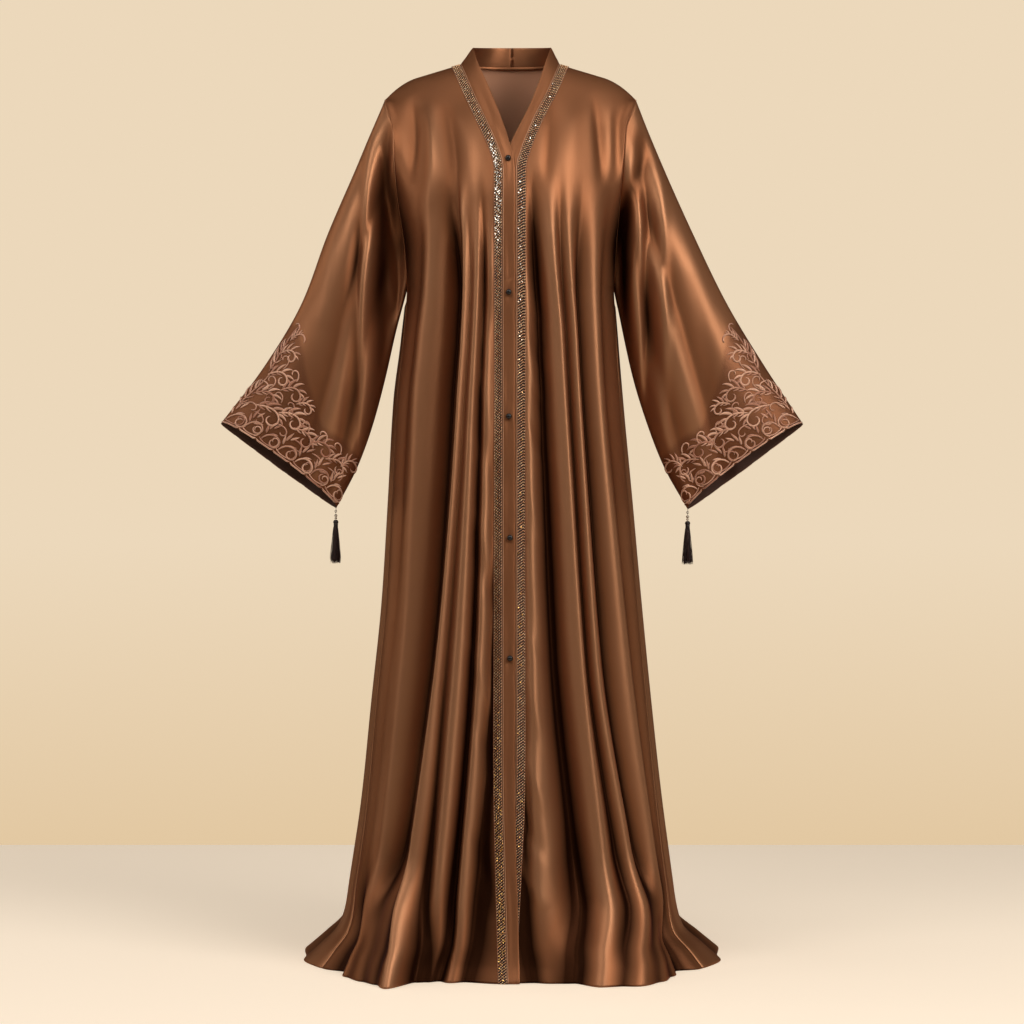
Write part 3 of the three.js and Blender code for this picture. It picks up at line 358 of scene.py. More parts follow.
BACK_CREASES = {
    "right": table(CREASE_COLUMNS, [
        [-60, 110, -120, 190, 5, 14, -3.0, 0], [-96, 150, -150, 260, 6, 14, 3.2, 0],
        [-150, 130, -168, 250, 4, 10, -4.0, 0], [-40, 220, -62, 420, 5, 13, 3.0, 0.2],
        [-90, 260, -104, 470, 5, 12, -3.2, 0.2], [-150, 300, -172, 380, 5, 13, -5.0, 0],
        [-30, 640, -54, 900, 8, 12, 3.0, 0.2], [-110, 700, -128, 940, 8, 12, -3.4, 0.2]]),
    "left": table(CREASE_COLUMNS, [
        [46, 120, 100, 210, -5, 14, -3.2, 0], [86, 160, 144, 250, -6, 13, 3.0, 0],
        [146, 120, 166, 240, -4, 10, -4.0, 0], [30, 240, 44, 460, -5, 12, 2.8, 0.2],
        [84, 280, 92, 500, -5, 12, -3.0, 0.2], [150, 300, 170, 380, -5, 13, -5.0, 0],
        [56, 600, 70, 860, -8, 12, -3.2, 0.2], [130, 740, 150, 980, -8, 12, 3.0, 0.2]]),
}
SLEEVE_CREASES = {
    "right": table(CREASE_COLUMNS, [
        [-238, 130, -270, 640, 6, 13, -7, 0], [-224, 90, -238, 640, -5, 8, 7, 0.4],
        [-203, 90, -206, 560, 2, 17, -20, 0], [-196, 60, -196, 225, 0, 5, 6, 0],
        [-292, 300, -330, 560, -6, 20, -3, 0], [-262, 180, -300, 420, -6, 16, 3, 0]]),
    "left": table(CREASE_COLUMNS, [
        [214, 80, 216, 640, 0, 12, -14, 0.4], [192, 60, 188, 500, 0, 11, 6, 0],
        [176, 110, 172, 420, 0, 10, -8, 0], [234, 120, 242, 620, 0, 13, 5, -0.3],
        [286, 330, 322, 560, 8, 18, -3, 0], [262, 200, 330, 520, 6, 16, 2.5, 0]]),
}


def crease_field(creases, x, drop):
    """Sum of soft ridges and troughs. A crease is a bell curve of the distance from its bowed
    line, narrower on one side by its lean, times a half wave along its length."""
    total = np.zeros(np.broadcast(x, drop).shape)
    for x0, drop0, x1, drop1, bow, wide, rise, lean in zip(*creases.values()):
        along = np.array([x1 - x0, drop1 - drop0])
        length = np.linalg.norm(along)
        share = ((x - x0) * along[0] + (drop - drop0) * along[1]) / length ** 2
        aside = ((x - x0) * along[1] - (drop - drop0) * along[0]) / length
        aside = aside - 4 * bow * share * (1 - share)
        width = wide * (1 + lean * np.tanh(aside / wide))
        run = np.sin(np.pi * np.clip(share, 0, 1)) ** 0.8
        total = total + rise * np.exp(-(aside / width) ** 2) * run
    return total


print("creases:", sum(len(c["x0"]) for group in (FRONT_CREASES, BACK_CREASES, SLEEVE_CREASES)
                      for c in group.values()))

# %% [markdown]
# ## The body surface
# Fronts and back are one surface, a function of an angle (0 at centre front, a half turn at centre
# back) and a drop. Its depth grows like a quarter circle from the shoulder seam down to the chest.
# That gives the rounded shoulder of worn cloth with no wearer modelled inside it. The folds and
# creases are then moved out along the oval's own outward direction.

# %% Body surface
ARMHOLE_MIDDLE = (SHOULDER_DROP + UNDERARM_DROP) / 2
ARMHOLE_HALF = (UNDERARM_DROP - SHOULDER_DROP) / 2
TUCK = {"start": 140, "run": 160, "share": 0.5}
ARMHOLE_SOFT, ARMHOLE_NEAR = 1.5, 0.75
NECK_SETTLE = 80
SLEEVE_POWER = 2.3
SEAM_DIP = 0.9
SEAM_DIP_WIDE = 0.012
SEAM_CALM = 0.12


def section(column, drop):
    """A half width, depth or squareness of the body at a drop."""
    return read(SECTIONS, column, drop)


def share_to_angle(share, drop):
    """Angle at which the oval reaches a share of its half width."""
    return np.arcsin(np.clip(share, 0, 1) ** (section("power", drop) / 2))


def seam_share(drop):
    """Where the side seam lies, as a share of the half width."""
    return read(SIDE_SEAM, "share", drop)


def crest_drop(side, x):
    """Drop of the shoulder seam: a straight slope, and a square curve where the shoulder rounds."""
    run = (np.abs(x) - NECK_HALF[side]) / (SHOULDER_HALF[side] - NECK_HALF[side])
    rounding = np.maximum(0, (run - ROUND_START) / (1 - ROUND_START)) ** 2
    slope = SHOULDER_DROP + NECK_RISE - SHOULDER_ROUND
    return -NECK_RISE + slope * run + SHOULDER_ROUND * rounding


def armhole_depth(front, drop, out=1.0):
    """How far the armhole stands in front of the shoulder line, or behind it: a squarish oval at
    the edge of the panel (out = 1), with softer ends inside it."""
    across = np.clip(1 - ((drop - ARMHOLE_MIDDLE) / ARMHOLE_HALF) ** 2, 0, 1)
    power = mix(ARMHOLE_SOFT, 1 / SLEEVE_POWER, ease((out - ARMHOLE_NEAR) / (1 - ARMHOLE_NEAR)))
    bow = np.where(front, ARMHOLE_BOW["front"], ARMHOLE_BOW["back"])
    bow = bow * (1 - TUCK["share"] * front * ease((drop - TUCK["start"]) / TUCK["run"]))
    inside = (drop > SHOULDER_DROP) & (drop < UNDERARM_DROP)
    return np.where(inside, bow * across ** power, 0)


def front_rise(side, across, x, drop):
    """Height of the front's cloth over the plain oval: lap, folds, creases and the seam's dip."""
    folds = FRONT_FOLDS[side]
    seam = seam_share(drop)
    places = [read(NECKLINE, side, drop) / section(side, drop)]
    for row in zip(*(folds[name] for name in FOLD_COLUMNS.split()[:6])):
        levels = {"drop": LEVELS, "place": np.array(row)}
        places.append(read(levels, "place", drop) * seam)
    places.append(seam)
    rises = [0 * drop, *fold_rises(folds, drop), 0 * drop]
    lap = read(LAP, "lift", drop) * (1 - ease(across / LAP_FADE)) * (side == "right")
    dip = SEAM_DIP * np.exp(-((seam - across) / SEAM_DIP_WIDE) ** 2)
    calm = ease((seam - across) / SEAM_CALM)
    return (lap + fold_field(places, rises, across) - dip
            + calm * crease_field(FRONT_CREASES[side], x, drop))


def back_rise(side, angle, x, drop):
    """Height of the back's cloth over the plain oval: folds, creases and the seam's dip."""
    folds = BACK_FOLDS[side]
    seam = share_to_angle(seam_share(drop), drop)
    turn = (np.pi - angle) / (np.pi - seam)
    places = [place + 0 * drop for place in folds["place"]]
    dip = SEAM_DIP * np.exp(-((1 - turn) / SEAM_DIP_WIDE) ** 2)
    calm = ease((1 - turn) / SEAM_CALM)
    return (fold_field(places, fold_rises(folds, drop), turn) - dip
            + calm * crease_field(BACK_CREASES[side], x, drop))


def body_point(side, angle, drop, back):
    """A point of the body: a squarish oval whose depth grows as a quarter circle below the
    shoulder seam, bowed out at the armhole, and raised by the cloth's folds."""
    power, width = section("power", drop), section(side, drop)
    front = angle <= np.pi / 2
    across = np.abs(np.sin(angle)) ** (2 / power)
    deep = np.abs(np.cos(angle)) ** (2 / power)
    turned = np.where(np.sin(angle) < 0, -1, 1)
    x = across * width * turned
    neck = NECK_HALF[side]
    at_neck = ~front & (np.abs(x) < neck)
    hollow = np.sqrt(np.clip(1 - (x / neck) ** 2, 0, 1))
    settled = ease((drop + NECK_RISE + NECK_BACK_RISE * hollow) / NECK_SETTLE)
    hollow = hollow ** (1 + 2 * settled)
    start_depth = np.where(at_neck, NECK_BACK * hollow, 0)
    start_drop = np.where(at_neck, -NECK_RISE - NECK_BACK_RISE * hollow, crest_drop(side, x))
    fall = np.clip((drop - start_drop) / CHEST_RISE, 0, 1)
    full = np.where(front, section("front", drop), section("back", drop))
    middle = start_depth + (full - start_depth) * np.sqrt(1 - (1 - fall) ** 2)
    depth = middle * deep + (armhole_depth(front, drop, across) * across ** ARMHOLE_REACH
                             * (1 - deep))
    facing = np.where(front, -1, 1)
    outward = unit(stack(SIGN[side] * turned * across ** (power - 1) / width,
                         facing * deep ** (power - 1) / full, 0 * drop))
    seen_x = SIGN[side] * x
    rise = back_rise(side, angle, seen_x, drop) if back else front_rise(
        side, across, seen_x, drop)
    point = stack(seen_x, facing * depth, -drop)
    return point + outward * rise[..., None]


# %% [markdown]
# ## The fronts
# A front runs from the band seam to the side seam. Its rows follow the slope of the shoulder at
# the top and turn level further down, as the threads of the cloth do. The first columns carry the
# braid, so they have its width. Every panel is one sheet of corners; Solidify then gives it the
# thickness of the satin, inwards, so that the outer side stays where the cut puts it.

# %% Rows and columns
SLOPE_FADE = {"height": 240, "power": 1.5}
TRIM_REACH = TRIM_INSET + TRIM_WIDTH + 1
ARMHOLE_ROWS, SKIRT_ROWS, HEM_ROWS = 44, 104, 52
SKIRT_END = 1270
TRIM_COLUMNS, FRONT_COLUMNS = 8, 112
EDGE_PASSES = 12
OVAL_MIDDLE = 20

armhole_turn = np.linspace(0, np.pi, ARMHOLE_ROWS + 1)
ROWS = np.concatenate([
    ARMHOLE_MIDDLE - ARMHOLE_HALF * np.cos(armhole_turn),
    np.linspace(UNDERARM_DROP, SKIRT_END, SKIRT_ROWS + 1)[1:],
    np.linspace(SKIRT_END, HEM_DROP, HEM_ROWS + 1)[1:]])


def row_drop(side, x, side_drop):
    """Drop at x of the row that meets the side edge at side_drop."""
    fade = np.clip(1 - (side_drop - SHOULDER_DROP) / SLOPE_FADE["height"], 0, 1)
    edge = section(side, side_drop)
    return side_drop - (crest_drop(side, edge) - crest_drop(side, x)) * fade ** SLOPE_FADE["power"]


def front_edge(side, side_drop):
    """Where a row meets the band seam, found by walking to it in a few passes."""
    x = read(NECKLINE, side, side_drop)
    for _ in range(EDGE_PASSES):
        x = read(NECKLINE, side, row_drop(side, np.abs(x), side_drop))
    return x


def front_grid(side):
    """All corners of one front: columns at even angles of the oval beyond the braid's columns."""
    side_drop = ROWS[:, None]
    edge = front_edge(side, side_drop)
    width, power = section(side, side_drop), section("power", side_drop)
    first = share_to_angle((edge + TRIM_REACH) / width, side_drop)
    last = share_to_angle(seam_share(side_drop), side_drop)
    angles = mix(first, last, np.linspace(0, 1, FRONT_COLUMNS + 1)[None, 1:])
    beyond = np.sin(angles) ** (2 / power) * width
    x = np.concatenate([edge + TRIM_REACH * np.linspace(0, 1, TRIM_COLUMNS + 1)[None], beyond], 1)
    drop = row_drop(side, x, side_drop)
    angle = share_to_angle(np.abs(x) / section(side, drop), drop) * np.where(x < 0, -1, 1)
    return body_point(side, angle, drop, back=False)


def away_from_axis(points):
    """Rough outward direction of the body's surface: away from the middle of the oval."""
    return points * [1, 1, 0] - [0, OVAL_MIDDLE, 0]


# %% [markdown]
# ## The recess at the armhole
# Where a sleeve hangs against the body, both sink into a soft hollow and the satin falls dark. It
# could be left to shadow alone, but the cloth really does sink there. So one line down the armhole
# says how wide and how deep the hollow is, and both panels are pushed back by the same amount,
# which keeps their seam closed. The same line paints shade into the colour: the hollow is painted
# darker on both panels.

# %% The recess at the armhole
RECESS_COLUMNS = "drop x wide deep"
RECESSES = {
    "right": table(RECESS_COLUMNS, [
        [90, -193, 10, 0], [145, -198, 15, 12], [220, -194, 22, 22], [300, -185, 27, 28],
        [380, -188, 27, 22], [430, -192, 25, 12], [540, -196, 24, 0]]),
    "left": table(RECESS_COLUMNS, [
        [90, 214, 10, 0], [145, 208, 13, 4], [220, 183, 15, 10], [300, 170, 15, 15],
        [380, 174, 16, 10], [430, 178, 16, 6], [540, 184, 16, 0]]),
}
FACING_FRONT = {"start": 8, "run": 26}
# How much painted shade darkens the colour in the armhole hollow.
RECESS_PAINTED_SHADE = 9.0


def recess_share(side, points):
    """How far a corner lies in the hollow where the sleeve is tucked against the body: a bell
    curve about a line that runs down the armhole, on the front only, deeper where it is deep."""
    x, y, drop = points[..., 0], points[..., 1], -points[..., 2]
    rows = RECESSES[side]
    away = (x - read(rows, "x", drop)) / read(rows, "wide", drop)
    deep = read(rows, "deep", drop) / rows["deep"].max()
    return np.exp(-away ** 2) * deep * ease((-y - FACING_FRONT["start"]) / FACING_FRONT["run"])


def tucked_in(side, points):
    """The same corners, pushed back into the hollow."""
    push = RECESSES[side]["deep"].max() * recess_share(side, points)
    return points + stack(0 * push, push, 0 * push)


FRONTS = {side: tucked_in(side, front_grid(side)) for side in SIGN}
for side, points in FRONTS.items():
    print("front", side, points.shape, "cloth", points.reshape(-1, 3).min(0).round(1),
          points.reshape(-1, 3).max(0).round(1))

# %% [markdown]
# ## The back
# The back is cut in one piece. It could be two mirrored halves, but real folds are never mirrored,
# so each half has its own folds and their grids are joined at the centre. The top row follows the
# back of the neck and then the two shoulder seams.

# %% Back
NECK_COLUMNS = 14
SHOULDER_COLUMNS = 46
BACK_SETTLE = 180
LEAST_ROW_STEP = 0.7


def neck_seam(side, turn):
    """Seam of the collar at the back of the neck, from a neck point (0) to the centre."""
    return stack(SIGN[side] * NECK_HALF[side] * np.cos(turn), NECK_BACK * np.sin(turn),
                 NECK_RISE + NECK_BACK_RISE * np.sin(turn))


def back_half(side):
    """Half of the back. The columns start evenly along the neck and the shoulder and settle to
    even shares of the turn from the centre to the side seam."""
    turn = np.pi / 2 * (1 - np.arange(NECK_COLUMNS + 1) / NECK_COLUMNS)
    along = np.arange(1, SHOULDER_COLUMNS + 1) / SHOULDER_COLUMNS
    top_x = np.concatenate([NECK_HALF[side] * np.cos(turn),
                            mix(NECK_HALF[side], SHOULDER_HALF[side], along)])
    top_drop = np.concatenate([-NECK_RISE - NECK_BACK_RISE * np.sin(turn),
                               crest_drop(side, top_x[NECK_COLUMNS + 1:])])
    top_y = np.concatenate([NECK_BACK * np.sin(turn), 0 * along])
    side_drop = ROWS[1:, None]
    share = np.linspace(0, 1, len(top_x))[None]
    top_angle = np.pi - share_to_angle(top_x / SHOULDER_HALF[side], np.float64(SHOULDER_DROP))
    low_angle = np.pi - share * (np.pi - share_to_angle(seam_share(side_drop), side_drop))
    level = mix(top_angle[None], low_angle, ease((side_drop - SHOULDER_DROP) / BACK_SETTLE))
    width, power = section(side, side_drop), section("power", side_drop)
    x = np.sin(level) ** (2 / power) * width
    step = LEAST_ROW_STEP * np.arange(1, len(ROWS))[:, None]
    drop = np.maximum(row_drop(side, x, side_drop), top_drop[None] + step)
    angle = np.where(level > np.pi / 2,
                     np.pi - share_to_angle(x / section(side, drop), drop), level)
    drop = np.where(level > np.pi / 2, drop, side_drop)
    top = stack(SIGN[side] * top_x, top_y, -top_drop)[None]
    return np.concatenate([top, body_point(side, angle, drop, back=True)])


BACK_HALVES = {side: back_half(side) for side in SIGN}
BACK = np.concatenate([BACK_HALVES["right"][:, :0:-1], BACK_HALVES["left"]], axis=1)
print("back", BACK.shape, BACK.reshape(-1, 3).min(0).round(1), BACK.reshape(-1, 3).max(0).round(1))

# %% [markdown]
# ## The sleeves
# A sleeve is a flattened tube: a straight outer edge, a straight inner edge, and a squarish bow to
# the front and the back. A cylinder could be pulled into that shape, but its seam would never fit
# the body. So the rings start exactly on the body's armhole curve, which makes the seam, and the
# diagonal folds fan out from the shoulder towards the cuff.

# %% Sleeves
SLEEVE_COLUMNS, SLEEVE_RINGS = 168, 102
SLEEVE_TABLE = "along top_x top_drop low_x low_drop front back"
SLEEVES = {
    "right": table(SLEEVE_TABLE, [
        [0, 204, 52, 169, 355, 60, 66], [0.1, 227, 107, 178, 391, 62, 67],
        [0.2, 249, 160, 187, 427, 62, 66], [0.4, 295, 267, 203, 498, 60, 62],
        [0.6, 336, 376, 222, 569, 54, 56], [0.8, 396, 477, 247, 638, 46, 48],
        [1, 466, 569, 281, 704, 36, 38]]),
    "left": table(SLEEVE_TABLE, [
        [0, 199, 52, 164, 355, 60, 66], [0.1, 220, 107, 171, 391, 62, 67],
        [0.2, 242, 160, 178, 427, 62, 66], [0.4, 290, 267, 194, 498, 60, 62],
        [0.6, 343, 376, 216, 569, 54, 56], [0.8, 404, 477, 243, 638, 46, 48],
        [1, 466, 570, 281, 706, 36, 38]]),
}
SLEEVE_FOLDS = {
    "front": table("head elbow cuff rise", [
        [0, 0, 0, 0], [0.16, 0.18, 0.24, 3], [0.32, 0.42, 0.64, -4], [0.42, 0.56, 0.76, 3],
        [0.58, 0.74, 0.88, -4], [0.78, 0.88, 0.95, 2], [1, 1, 1, 0]]),
    "back": table("head elbow cuff rise", [
        [0, 0, 0, 0], [0.2, 0.22, 0.28, 6], [0.38, 0.46, 0.54, -9], [0.54, 0.6, 0.68, 6],
        [0.72, 0.78, 0.84, -8], [1, 1, 1, 0]]),
}
SWELL = {"grown": 0.25, "eases": 0.6, "at_cuff": 0.75}
CUFF_LIFT, CUFF_FALL, CUFF_HANG_START = 14, 4, 0.7
EDGE_CALM = 1.6
CREASE_START = 0.08
SEAM_BLEND = 0.16
CUFF_EDGE = 229.0
SEAM_LENGTHS = {"outer": 580.0, "inner": 366.0}
OUTLINE = table("p top", [[-10, 214], [20, 206], [50, 182], [75, 158], [110, 130], [150, 102],
                          [185, 106], [215, 100], [240, 92]])


def sleeve_folds(folds, along, across):
    """Height of the diagonal folds: each goes from its place at the head over one at the elbow to
    one at the cuff."""
    upper, lower = np.clip(along / 0.5, 0, 1), np.clip((along - 0.5) / 0.5, 0, 1)
    places = [np.where(along < 0.5, mix(head, elbow, upper), mix(elbow, cuff, lower))
              for head, elbow, cuff in zip(folds["head"], folds["elbow"], folds["cuff"])]
    swell = (ease(along / SWELL["grown"])
             * mix(1, SWELL["at_cuff"], ease((along - SWELL["eases"]) / (1 - SWELL["eases"]))))
    return swell * fold_field(places, list(folds["rise"]), across)


def sleeve_point(side, angle, along):
    """A point of a sleeve: angle 0 is the outer edge, a half turn over the front the inner edge,
    and along goes from armhole to cuff. Depth is the bow of a squarish oval plus the folds."""
    rows, other = SLEEVES[side], {"right": "left", "left": "right"}[side]
    top = stack(read(rows, "top_x", along, "along"), -read(rows, "top_drop", along, "along"))
    low = stack(read(rows, "low_x", along, "along"), -read(rows, "low_drop", along, "along"))
    front = np.sin(angle) >= 0
    bow = np.abs(np.sin(angle)) ** (2 / SLEEVE_POWER)
    across = (1 - np.cos(angle)) / 2
    calm = np.minimum(1, EDGE_CALM * bow)
    chord = low - top
    down = unit(stack(-chord[..., 1], chord[..., 0]))
    down = down * np.where(down[..., 1:] > 0, -1, 1)
    hang = (np.where(front, -CUFF_LIFT, CUFF_FALL) * bow
            * ease((along - CUFF_HANG_START) / (1 - CUFF_HANG_START)))
    flat = top + chord * across[..., None] + down * hang[..., None]
    x, drop = SIGN[side] * flat[..., 0], -flat[..., 1]
    rise = np.where(front, sleeve_folds(SLEEVE_FOLDS["front"], along, across),
                    sleeve_folds(SLEEVE_FOLDS["back"], along, across))
    crease = np.where(front, crease_field(SLEEVE_CREASES[side], x, drop),
                      crease_field(SLEEVE_CREASES[other], -x, drop)) * ease(along / CREASE_START)
    bulge = np.where(front, read(rows, "front", along, "along"),
                     read(rows, "back", along, "along")) * bow
    depth = bulge + (rise + crease) * calm
    return stack(x, np.where(front, -1, 1) * depth, -drop)


def armhole_curve(side, angle):
    """The body's armhole as a ring, over the front and then up the back."""
    drop = ARMHOLE_MIDDLE - ARMHOLE_HALF * np.cos(angle)
    edge = angle * 0 + np.pi / 2
    return np.where(np.sin(angle)[..., None] >= 0, body_point(side, edge, drop, back=False),
                    body_point(side, edge + 1e-9, drop, back=True))


def sleeve_grid(side):
    """Rings of a sleeve. The first stretch leads from the armhole curve into the tube."""
    angle = np.linspace(0, 2 * np.pi, SLEEVE_COLUMNS + 1)[None]
    along = np.linspace(0, 1, SLEEVE_RINGS)[:, None]
    points = sleeve_point(side, angle + 0 * along, along + 0 * angle)
    gap = armhole_curve(side, angle) - points[:1]
    return points + gap * (1 - ease(along / SEAM_BLEND))[..., None]


SLEEVE_GRIDS = {side: tucked_in(side, sleeve_grid(side)) for side in SIGN}
for side, points in SLEEVE_GRIDS.items():
    print("sleeve", side, points.reshape(-1, 3).min(0).round(1),
          points.reshape(-1, 3).max(0).round(1))

# %% [markdown]
# ## From grid to cloth
# A panel needs three things besides its corners: a flat map (how far each corner lies along the
# cloth, for the weave), a number that says how far it stands out of or sinks into its neighbours
# (it paints shade into the colour of the valleys and highlight onto the ridges, and painted shade
# near the hem and in the armhole hollow is taken off it), and a thickness. Solidify gives the last
# one.

# %% Panels
VALLEY_REACH = 9
GROUND_EDGE = {"inside": 6, "soft": 14}
# Painted shade: the colour is darkened over the last stretch down to the hem.
HEM_PAINTED_SHADE = {"start": 1120, "run": 280, "deep": 3.8}
WELD = 2e-6


def weld(piece):
    """Join corners that share a place, so that seams and poles are closed."""
    work = bmesh.new()
    work.from_mesh(piece.data)
    bmesh.ops.remove_doubles(work, verts=work.verts, dist=WELD)
    work.to_mesh(piece.data)
    work.free()
    return piece


def stand_out(points, normals, reach=VALLEY_REACH):
    """How far each corner stands out from a running average (a bell curve) of its row."""
    column = np.arange(points.shape[1])
    kernel = np.exp(-((column[:, None] - column) / reach) ** 2)
    kernel /= kernel.sum(1, keepdims=True)
    average = np.einsum("ij,rjc->ric", kernel, points)
    return np.sum((points - average) * normals, axis=-1)


def quad_area(points):
    """Area of a grid in square metres, from the two diagonals of each face."""
    first = points[1:, 1:] - points[:-1, :-1]
    second = points[1:, :-1] - points[:-1, 1:]
    return float(np.linalg.norm(np.cross(first, second), axis=-1).sum() / 2) * MM ** 2


def cloth_panel(name, points, outward, ground=None, shade=0.0):
    """A panel of satin with its flat map, its tone (painted shade in the valleys, the armhole hollow
    and towards the hem, painted highlight on the ridges), its thickness, and where it is stitched.
    """
    normals = facing_out(points, outward)
    across, down = grid_lengths(points)
    # Painted shade: darker towards the hem.
    low = HEM_PAINTED_SHADE["deep"] * ease((-points[..., 2] - HEM_PAINTED_SHADE["start"]) / HEM_PAINTED_SHADE["run"])
    # The tone paints shade: valleys and the armhole hollow darker, ridges lighter.
    tone = (stand_out(points, normals) - RECESS_PAINTED_SHADE * shade - low).ravel()
    piece = put_grid(name, points, outward, uv=stack(across, down), tone=tone)
    if ground is not None:
        attribute = piece.data.attributes.new("ground", "FLOAT", "POINT")
        attribute.data.foreach_set("value", ground.astype(np.float32).ravel())
    weld(piece)
    shell = piece.modifiers.new("wall", "SOLIDIFY")
    shell.thickness = CLOTH * MM
    shell.offset = -1
    shell.material_offset = 1
    flat = (float(across[:, -1].max()) * MM, float(down[-1].max()) * MM)
    print(name, "flat", np.round(flat, 3), "m, area", round(quad_area(points), 3), "m2")
    return piece, flat, quad_area(points)


def sleeve_outward(points):
    """From the middle line of each ring to its corners."""
    return points - points[:, :-1].mean(axis=1, keepdims=True)


def stitched_ground():
    """One where the cuff's embroidery covers a sleeve's grid, zero elsewhere."""
    angle = np.linspace(0, 2 * np.pi, SLEEVE_COLUMNS + 1)[None]
    across = (1 - np.cos(angle)) / 2
    up = (1 - np.linspace(0, 1, SLEEVE_RINGS)[:, None]) * mix(
        SEAM_LENGTHS["outer"], SEAM_LENGTHS["inner"], across)
    top = read(OUTLINE, "top", across * CUFF_EDGE, "p")
    return ease((top - GROUND_EDGE["inside"] - up) / GROUND_EDGE["soft"])


NORMALS = {side: facing_out(FRONTS[side], away_from_axis(FRONTS[side])) for side in SIGN}
panels = {"cloth_front_" + side: cloth_panel(
    "cloth_front_" + side, FRONTS[side], away_from_axis(FRONTS[side]),
    shade=recess_share(side, FRONTS[side])) for side in SIGN}
panels["cloth_back"] = cloth_panel("cloth_back", BACK, away_from_axis(BACK))
for side in SIGN:
    grid = SLEEVE_GRIDS[side]
    panels["cloth_sleeve_" + side] = cloth_panel("cloth_sleeve_" + side, grid,
                                                 sleeve_outward(grid), stitched_ground(),
                                                 recess_share(side, grid))

# %% [markdown]
# ## The band and the collar
# One folded strip of satin runs from the hem up the front edge, stands up as a low collar and ends
# at the centre back, where it meets its twin. It has two layers with turnings between them, so its
# section is a flat tube with round edges. The right band laps over the left one, and each button
# pulls it into creases. First its seam and its free edge are worked out, then the tube around them.

# %% Band rows
NECK_BAND_ROWS = 26
COLLAR = {"x": 62, "front": -4, "back": 70, "low": 32, "high": 45}
BAND_STANDS, BAND_LIES = 10, 60
BAND_EDGE = table("drop right left forward height", [
    [-5, 62, 62, 4, 32], [22, 54, 53, 36, 3], [51, 39, 41, 62, -34], [93, 21.5, 24, 88, -80],
    [148, 1, -5, 121, -146], [172, -4.5, -11, 127, -172]])


def band_rows(side):
    """Seam, free edge and outward directions of the band, from the centre back to the hem."""
    turn = np.pi / 2 * (1 - np.arange(NECK_BAND_ROWS) / NECK_BAND_ROWS)
    sine, cosine = np.sin(turn), np.cos(turn)
    neck = neck_seam(side, turn)
    neck_edge = stack(SIGN[side] * COLLAR["x"] * cosine,
                      mix(COLLAR["front"], COLLAR["back"], sine),
                      mix(COLLAR["low"], COLLAR["high"], sine))
    around = unit(stack(SIGN[side] * cosine, sine, 0.2 + 0 * turn))
    seam, normal = FRONTS[side][:, 0], NORMALS[side][:, 0]
    drop = -seam[:, 2]
    level = -read(BAND_EDGE, "height", drop)
    x = np.maximum(0, read(BAND_EDGE, side, drop))
    lying = body_point(side, share_to_angle(x / section(side, level), level), level, False)
    y = mix(-read(BAND_EDGE, "forward", drop), lying[:, 1],
            ease((drop - BAND_STANDS) / (BAND_LIES - BAND_STANDS)))
    above = stack(SIGN[side] * read(BAND_EDGE, side, drop), y, -level)
    below = seam + stack(-SIGN[side] * BAND_WIDTH, 0, 0)
    edge = np.where((drop < PLACKET_DROP)[:, None], above, below)
    upright = unit(np.array([SIGN[side], -0.25, 0.35]))
    facing = unit(mix(upright, normal, ease(drop / BAND_LIES)[:, None]))
    start = unit(mix(around[-1], normal, ease(drop / BAND_LIES)[:, None]))
    return (np.concatenate([neck, seam]), np.concatenate([neck_edge, edge]),
            np.concatenate([around, start]), np.concatenate([around, facing]))


BANDS = {side: band_rows(side) for side in SIGN}
print("band rows:", len(BANDS["right"][0]))

# %% Band pieces
BAND_RING = 28
BAND_HALF = 1.0
BAND_ROUND = 0.42
BAND_TROUGH = 1.3
BUTTON_PLACES = table("drop x", [
    [162, -6], [371, -5], [563, -4.8], [750, -3], [934, -3]])
PULL = {"high": 0.55, "reach": 26, "pitch": 11, "slant": 0.8}
TROUGH_LINE = {"middle": 0.42, "strays": 0.08, "every": 240, "wide": 0.22}
TROUGH_DEPTH = {"mean": 0.65, "strays": 0.35, "every": 130}
EDGE_SWAY = {"far": 0.35, "every": 90}


def wander(at, seed, length, count=6):
    """A slow uneven wave around zero: a few sines of mixed lengths."""
    draw = np.random.default_rng(seed)
    waves = 2 * np.pi / (length * draw.uniform(0.5, 1.8, count))
    turns = draw.uniform(0, 2 * np.pi, count)
    return np.sum(np.sin(at[..., None] * waves + turns), axis=-1) / np.sqrt(count)


def band_height(across, drop, seed):
    """Height of the band's outer face over its plain middle: round edges, a soft trough along it
    that wanders, and short creases that fan out from each button."""
    edges = np.clip(4 * across * (1 - across), 0, 1) ** BAND_ROUND
    strays = wander(drop, seed, TROUGH_LINE["every"])
    middle = TROUGH_LINE["middle"] + TROUGH_LINE["strays"] * strays
    depth = (TROUGH_DEPTH["mean"]
             + TROUGH_DEPTH["strays"] * wander(drop, seed + 1, TROUGH_DEPTH["every"]))
    trough = np.exp(-((across - middle) / TROUGH_LINE["wide"]) ** 2) * depth
    pulls = sum(np.exp(-((drop - place) / PULL["reach"]) ** 2)
                * np.cos(2 * np.pi * ((drop - place) / PULL["pitch"] + PULL["slant"] * across))
                for place in BUTTON_PLACES["drop"])
    return BAND_HALF * edges - BAND_TROUGH * trough * edges + PULL["high"] * pulls * edges


